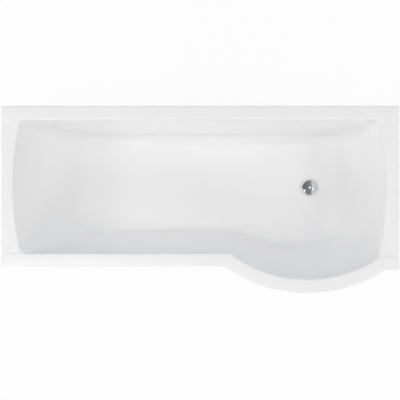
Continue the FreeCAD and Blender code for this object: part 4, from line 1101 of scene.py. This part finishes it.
CAMERA_HEIGHT = 5000
VIEW_WIDTH = 1708
CAMERA_X = -0.4
CAMERA_Y = -2
SENSOR = 36

# Lamps that gloss shows: name, place, aim, width and height of the lamp, power in watts.
LAMPS = (
    ("rim_glare", (-1150, -1450, 3400), (-1150, -1450, 0), 1700, 2100, 16),
    ("glint", (810, 89, 3400), (505, 55, 170), 400, 400, 0.8),
    ("second_glint", (1600, -280, 3400), (505, 55, 170), 250, 250, 0.4),
)

# Panels round the bath, which gloss doesn't show: name, bearing from the tap end and height above level in
# degrees, width, power in watts, colour. The key is the smallest and throws the clearest shadow.
PANEL_DISTANCE = 12000
PANEL_AIM = (0, 0, 400)
PANELS = (
    ("key", 288, 42, 3000, 178, "#FFFEFD"),
    ("tap_end_low", 0, 20, 6000, 130, "#FFFEFD"),
    ("wall_side_low", 90, 20, 6000, 210, "#F0F5FF"),
    ("front_left_low", 225, 20, 6000, 388, "#FFFEFD"),
    ("front_right_low", 315, 20, 6000, 190, "#FFFEFD"),
    ("tap_end_high", 0, 50, 6000, 324, "#FFFEFD"),
    ("wall_side_high", 90, 50, 6000, 206, "#F0F5FF"),
    ("head_end_high", 180, 50, 6000, 520, "#FFFEFD"),
)

# Dark card over the left half, which only mirrors see, so that chrome shows its form.
CARD_HEIGHT = 3500
CARD_LEFT = -14000
CARD_RIGHT = 1322
CARD_DARK_X = -1020
CARD_HALF_WIDTH = 12000


def seen_white(tree, plain, white_share, kind):
    """Mixes in white where the camera, a mirror or glass looks at a surface."""
    path = add(tree, "ShaderNodeLightPath")
    looked_at = path.outputs["Is Camera Ray"]
    for ray in ("Is Glossy Ray", "Is Transmission Ray"):
        looked_at = add(tree, "ShaderNodeMath", {
            0: looked_at, 1: path.outputs[ray]}, operation="MAXIMUM").outputs["Value"]
    share = add(tree, "ShaderNodeMath", {0: looked_at, 1: white_share}, operation="MULTIPLY")
    white = add(tree, kind, {"Color": (1, 1, 1, 1), "Strength": 1.0})
    return add(tree, "ShaderNodeMixShader", {0: share.outputs["Value"], 1: plain, 2: white.outputs[0]})


def make_sheet(name, width, height, middle, material):
    """Level sheet of the studio, not a piece of the bath."""
    bm = bmesh.new()
    made = bmesh.ops.create_grid(bm, x_segments=1, y_segments=1, size=0.5)["verts"]
    bmesh.ops.scale(bm, verts=made, vec=Vector((width, height, 1)) * MM)
    bmesh.ops.translate(bm, verts=made, vec=Vector(middle) * MM)
    mesh = bpy.data.meshes.new(name)
    bm.to_mesh(mesh)
    bm.free()
    mesh.materials.append(material)
    sheet = bpy.data.objects.new(name, mesh)
    bpy.context.scene.collection.objects.link(sheet)
    return sheet


def make_floor():
    """Pale floor under the feet. Its underside is clear, so that the bath can be seen from below."""
    material, tree, _ = new_finish("pale_studio_floor")
    pale = add(tree, "ShaderNodeBsdfDiffuse", {"Color": paint("#F2F2F2")})
    lit = seen_white(tree, pale.outputs["BSDF"], FLOOR_WHITE, "ShaderNodeEmission")
    side = add(tree, "ShaderNodeNewGeometry")
    clear = add(tree, "ShaderNodeBsdfTransparent")
    surface = add(tree, "ShaderNodeMixShader", {
        0: side.outputs["Backfacing"], 1: lit.outputs["Shader"], 2: clear.outputs["BSDF"]})
    add(tree, "ShaderNodeOutputMaterial", {"Surface": surface.outputs["Shader"]})
    make_sheet("studio_floor", 2 * FLOOR_HALF, 2 * FLOOR_HALF, (0, 0, 0), material)


def make_card():
    """Card for reflections alone, darker to the left: it casts no shadow and isn't seen."""
    material, tree, place = new_finish("dark_card")
    across = add(tree, "ShaderNodeSeparateXYZ", {"Vector": place})
    share = add(tree, "ShaderNodeMapRange", {
        "Value": across.outputs["X"], "From Min": CARD_DARK_X * MM, "From Max": CARD_RIGHT * MM})
    greys = add(tree, "ShaderNodeMix", {
        MIX_SHARE: share.outputs["Result"], MIX_FROM: paint("#737373"), MIX_TO: paint("#B2B2B2")},
        data_type="RGBA")
    glow = add(tree, "ShaderNodeEmission", {"Color": greys.outputs[MIX_COLOUR], "Strength": 1.0})
    add(tree, "ShaderNodeOutputMaterial", {"Surface": glow.outputs["Emission"]})
    middle = ((CARD_LEFT + CARD_RIGHT) / 2, 0, CARD_HEIGHT)
    card = make_sheet("dark_card", CARD_RIGHT - CARD_LEFT, 2 * CARD_HALF_WIDTH, middle, material)
    for ray in ("camera", "diffuse", "transmission", "volume_scatter", "shadow"):
        setattr(card, f"visible_{ray}", False)


def make_world():
    world = bpy.data.worlds.new("studio")
    bpy.context.scene.world = world
    world.use_nodes = True
    tree = world.node_tree
    tree.nodes.clear()
    plain = add(tree, "ShaderNodeBackground", {"Color": (1, 1, 1, 1), "Strength": WORLD_LIGHT})
    seen = seen_white(tree, plain.outputs["Background"], 1.0, "ShaderNodeBackground")
    add(tree, "ShaderNodeOutputWorld", {"Surface": seen.outputs["Shader"]})


def make_lamp(name, spot, aim, width, height, power):
    """Flat square-cornered lamp that faces a point."""
    lamp = bpy.data.lights.new(name, "AREA")
    lamp.shape = "RECTANGLE"
    lamp.size = width * MM
    lamp.size_y = height * MM
    lamp.energy = power
    stand = bpy.data.objects.new(name, lamp)
    stand.location = Vector(spot) * MM
    stand.rotation_euler = (Vector(aim) - Vector(spot)).to_track_quat("-Z", "Y").to_euler()
    bpy.context.scene.collection.objects.link(stand)
    return stand


def make_lamps():
    for row in LAMPS:
        make_lamp(*row)
    for name, bearing, height, width, power, colour in PANELS:
        turn, tilt = math.radians(bearing), math.radians(height)
        away = Vector((math.cos(tilt) * math.cos(turn), math.cos(tilt) * math.sin(turn), math.sin(tilt)))
        spot = Vector(PANEL_AIM) + away * PANEL_DISTANCE
        panel = make_lamp(name, spot, PANEL_AIM, width, width, power)
        panel.data.color = paint(colour)[:3]
        panel.visible_glossy = False


def make_camera():
    """Camera straight above, with the wall side at the top of the picture."""
    lens = bpy.data.cameras.new("camera")
    lens.sensor_width = SENSOR
    lens.lens = SENSOR * CAMERA_HEIGHT / VIEW_WIDTH
    camera = bpy.data.objects.new("camera", lens)
    camera.location = Vector((CAMERA_X, CAMERA_Y, RIM + CAMERA_HEIGHT)) * MM
    bpy.context.scene.collection.objects.link(camera)
    bpy.context.scene.camera = camera


make_acrylic_shell()
make_backing()
make_all_screws()
for foot in FEET:
    make_stud(foot)
    make_pad(foot)
    make_nuts(foot)
make_plug()
make_waste_body()
make_back_nut()
dress_solids()
make_floor()
make_card()
make_world()
make_lamps()
make_camera()
bpy.context.scene.view_settings.view_transform = "Standard"
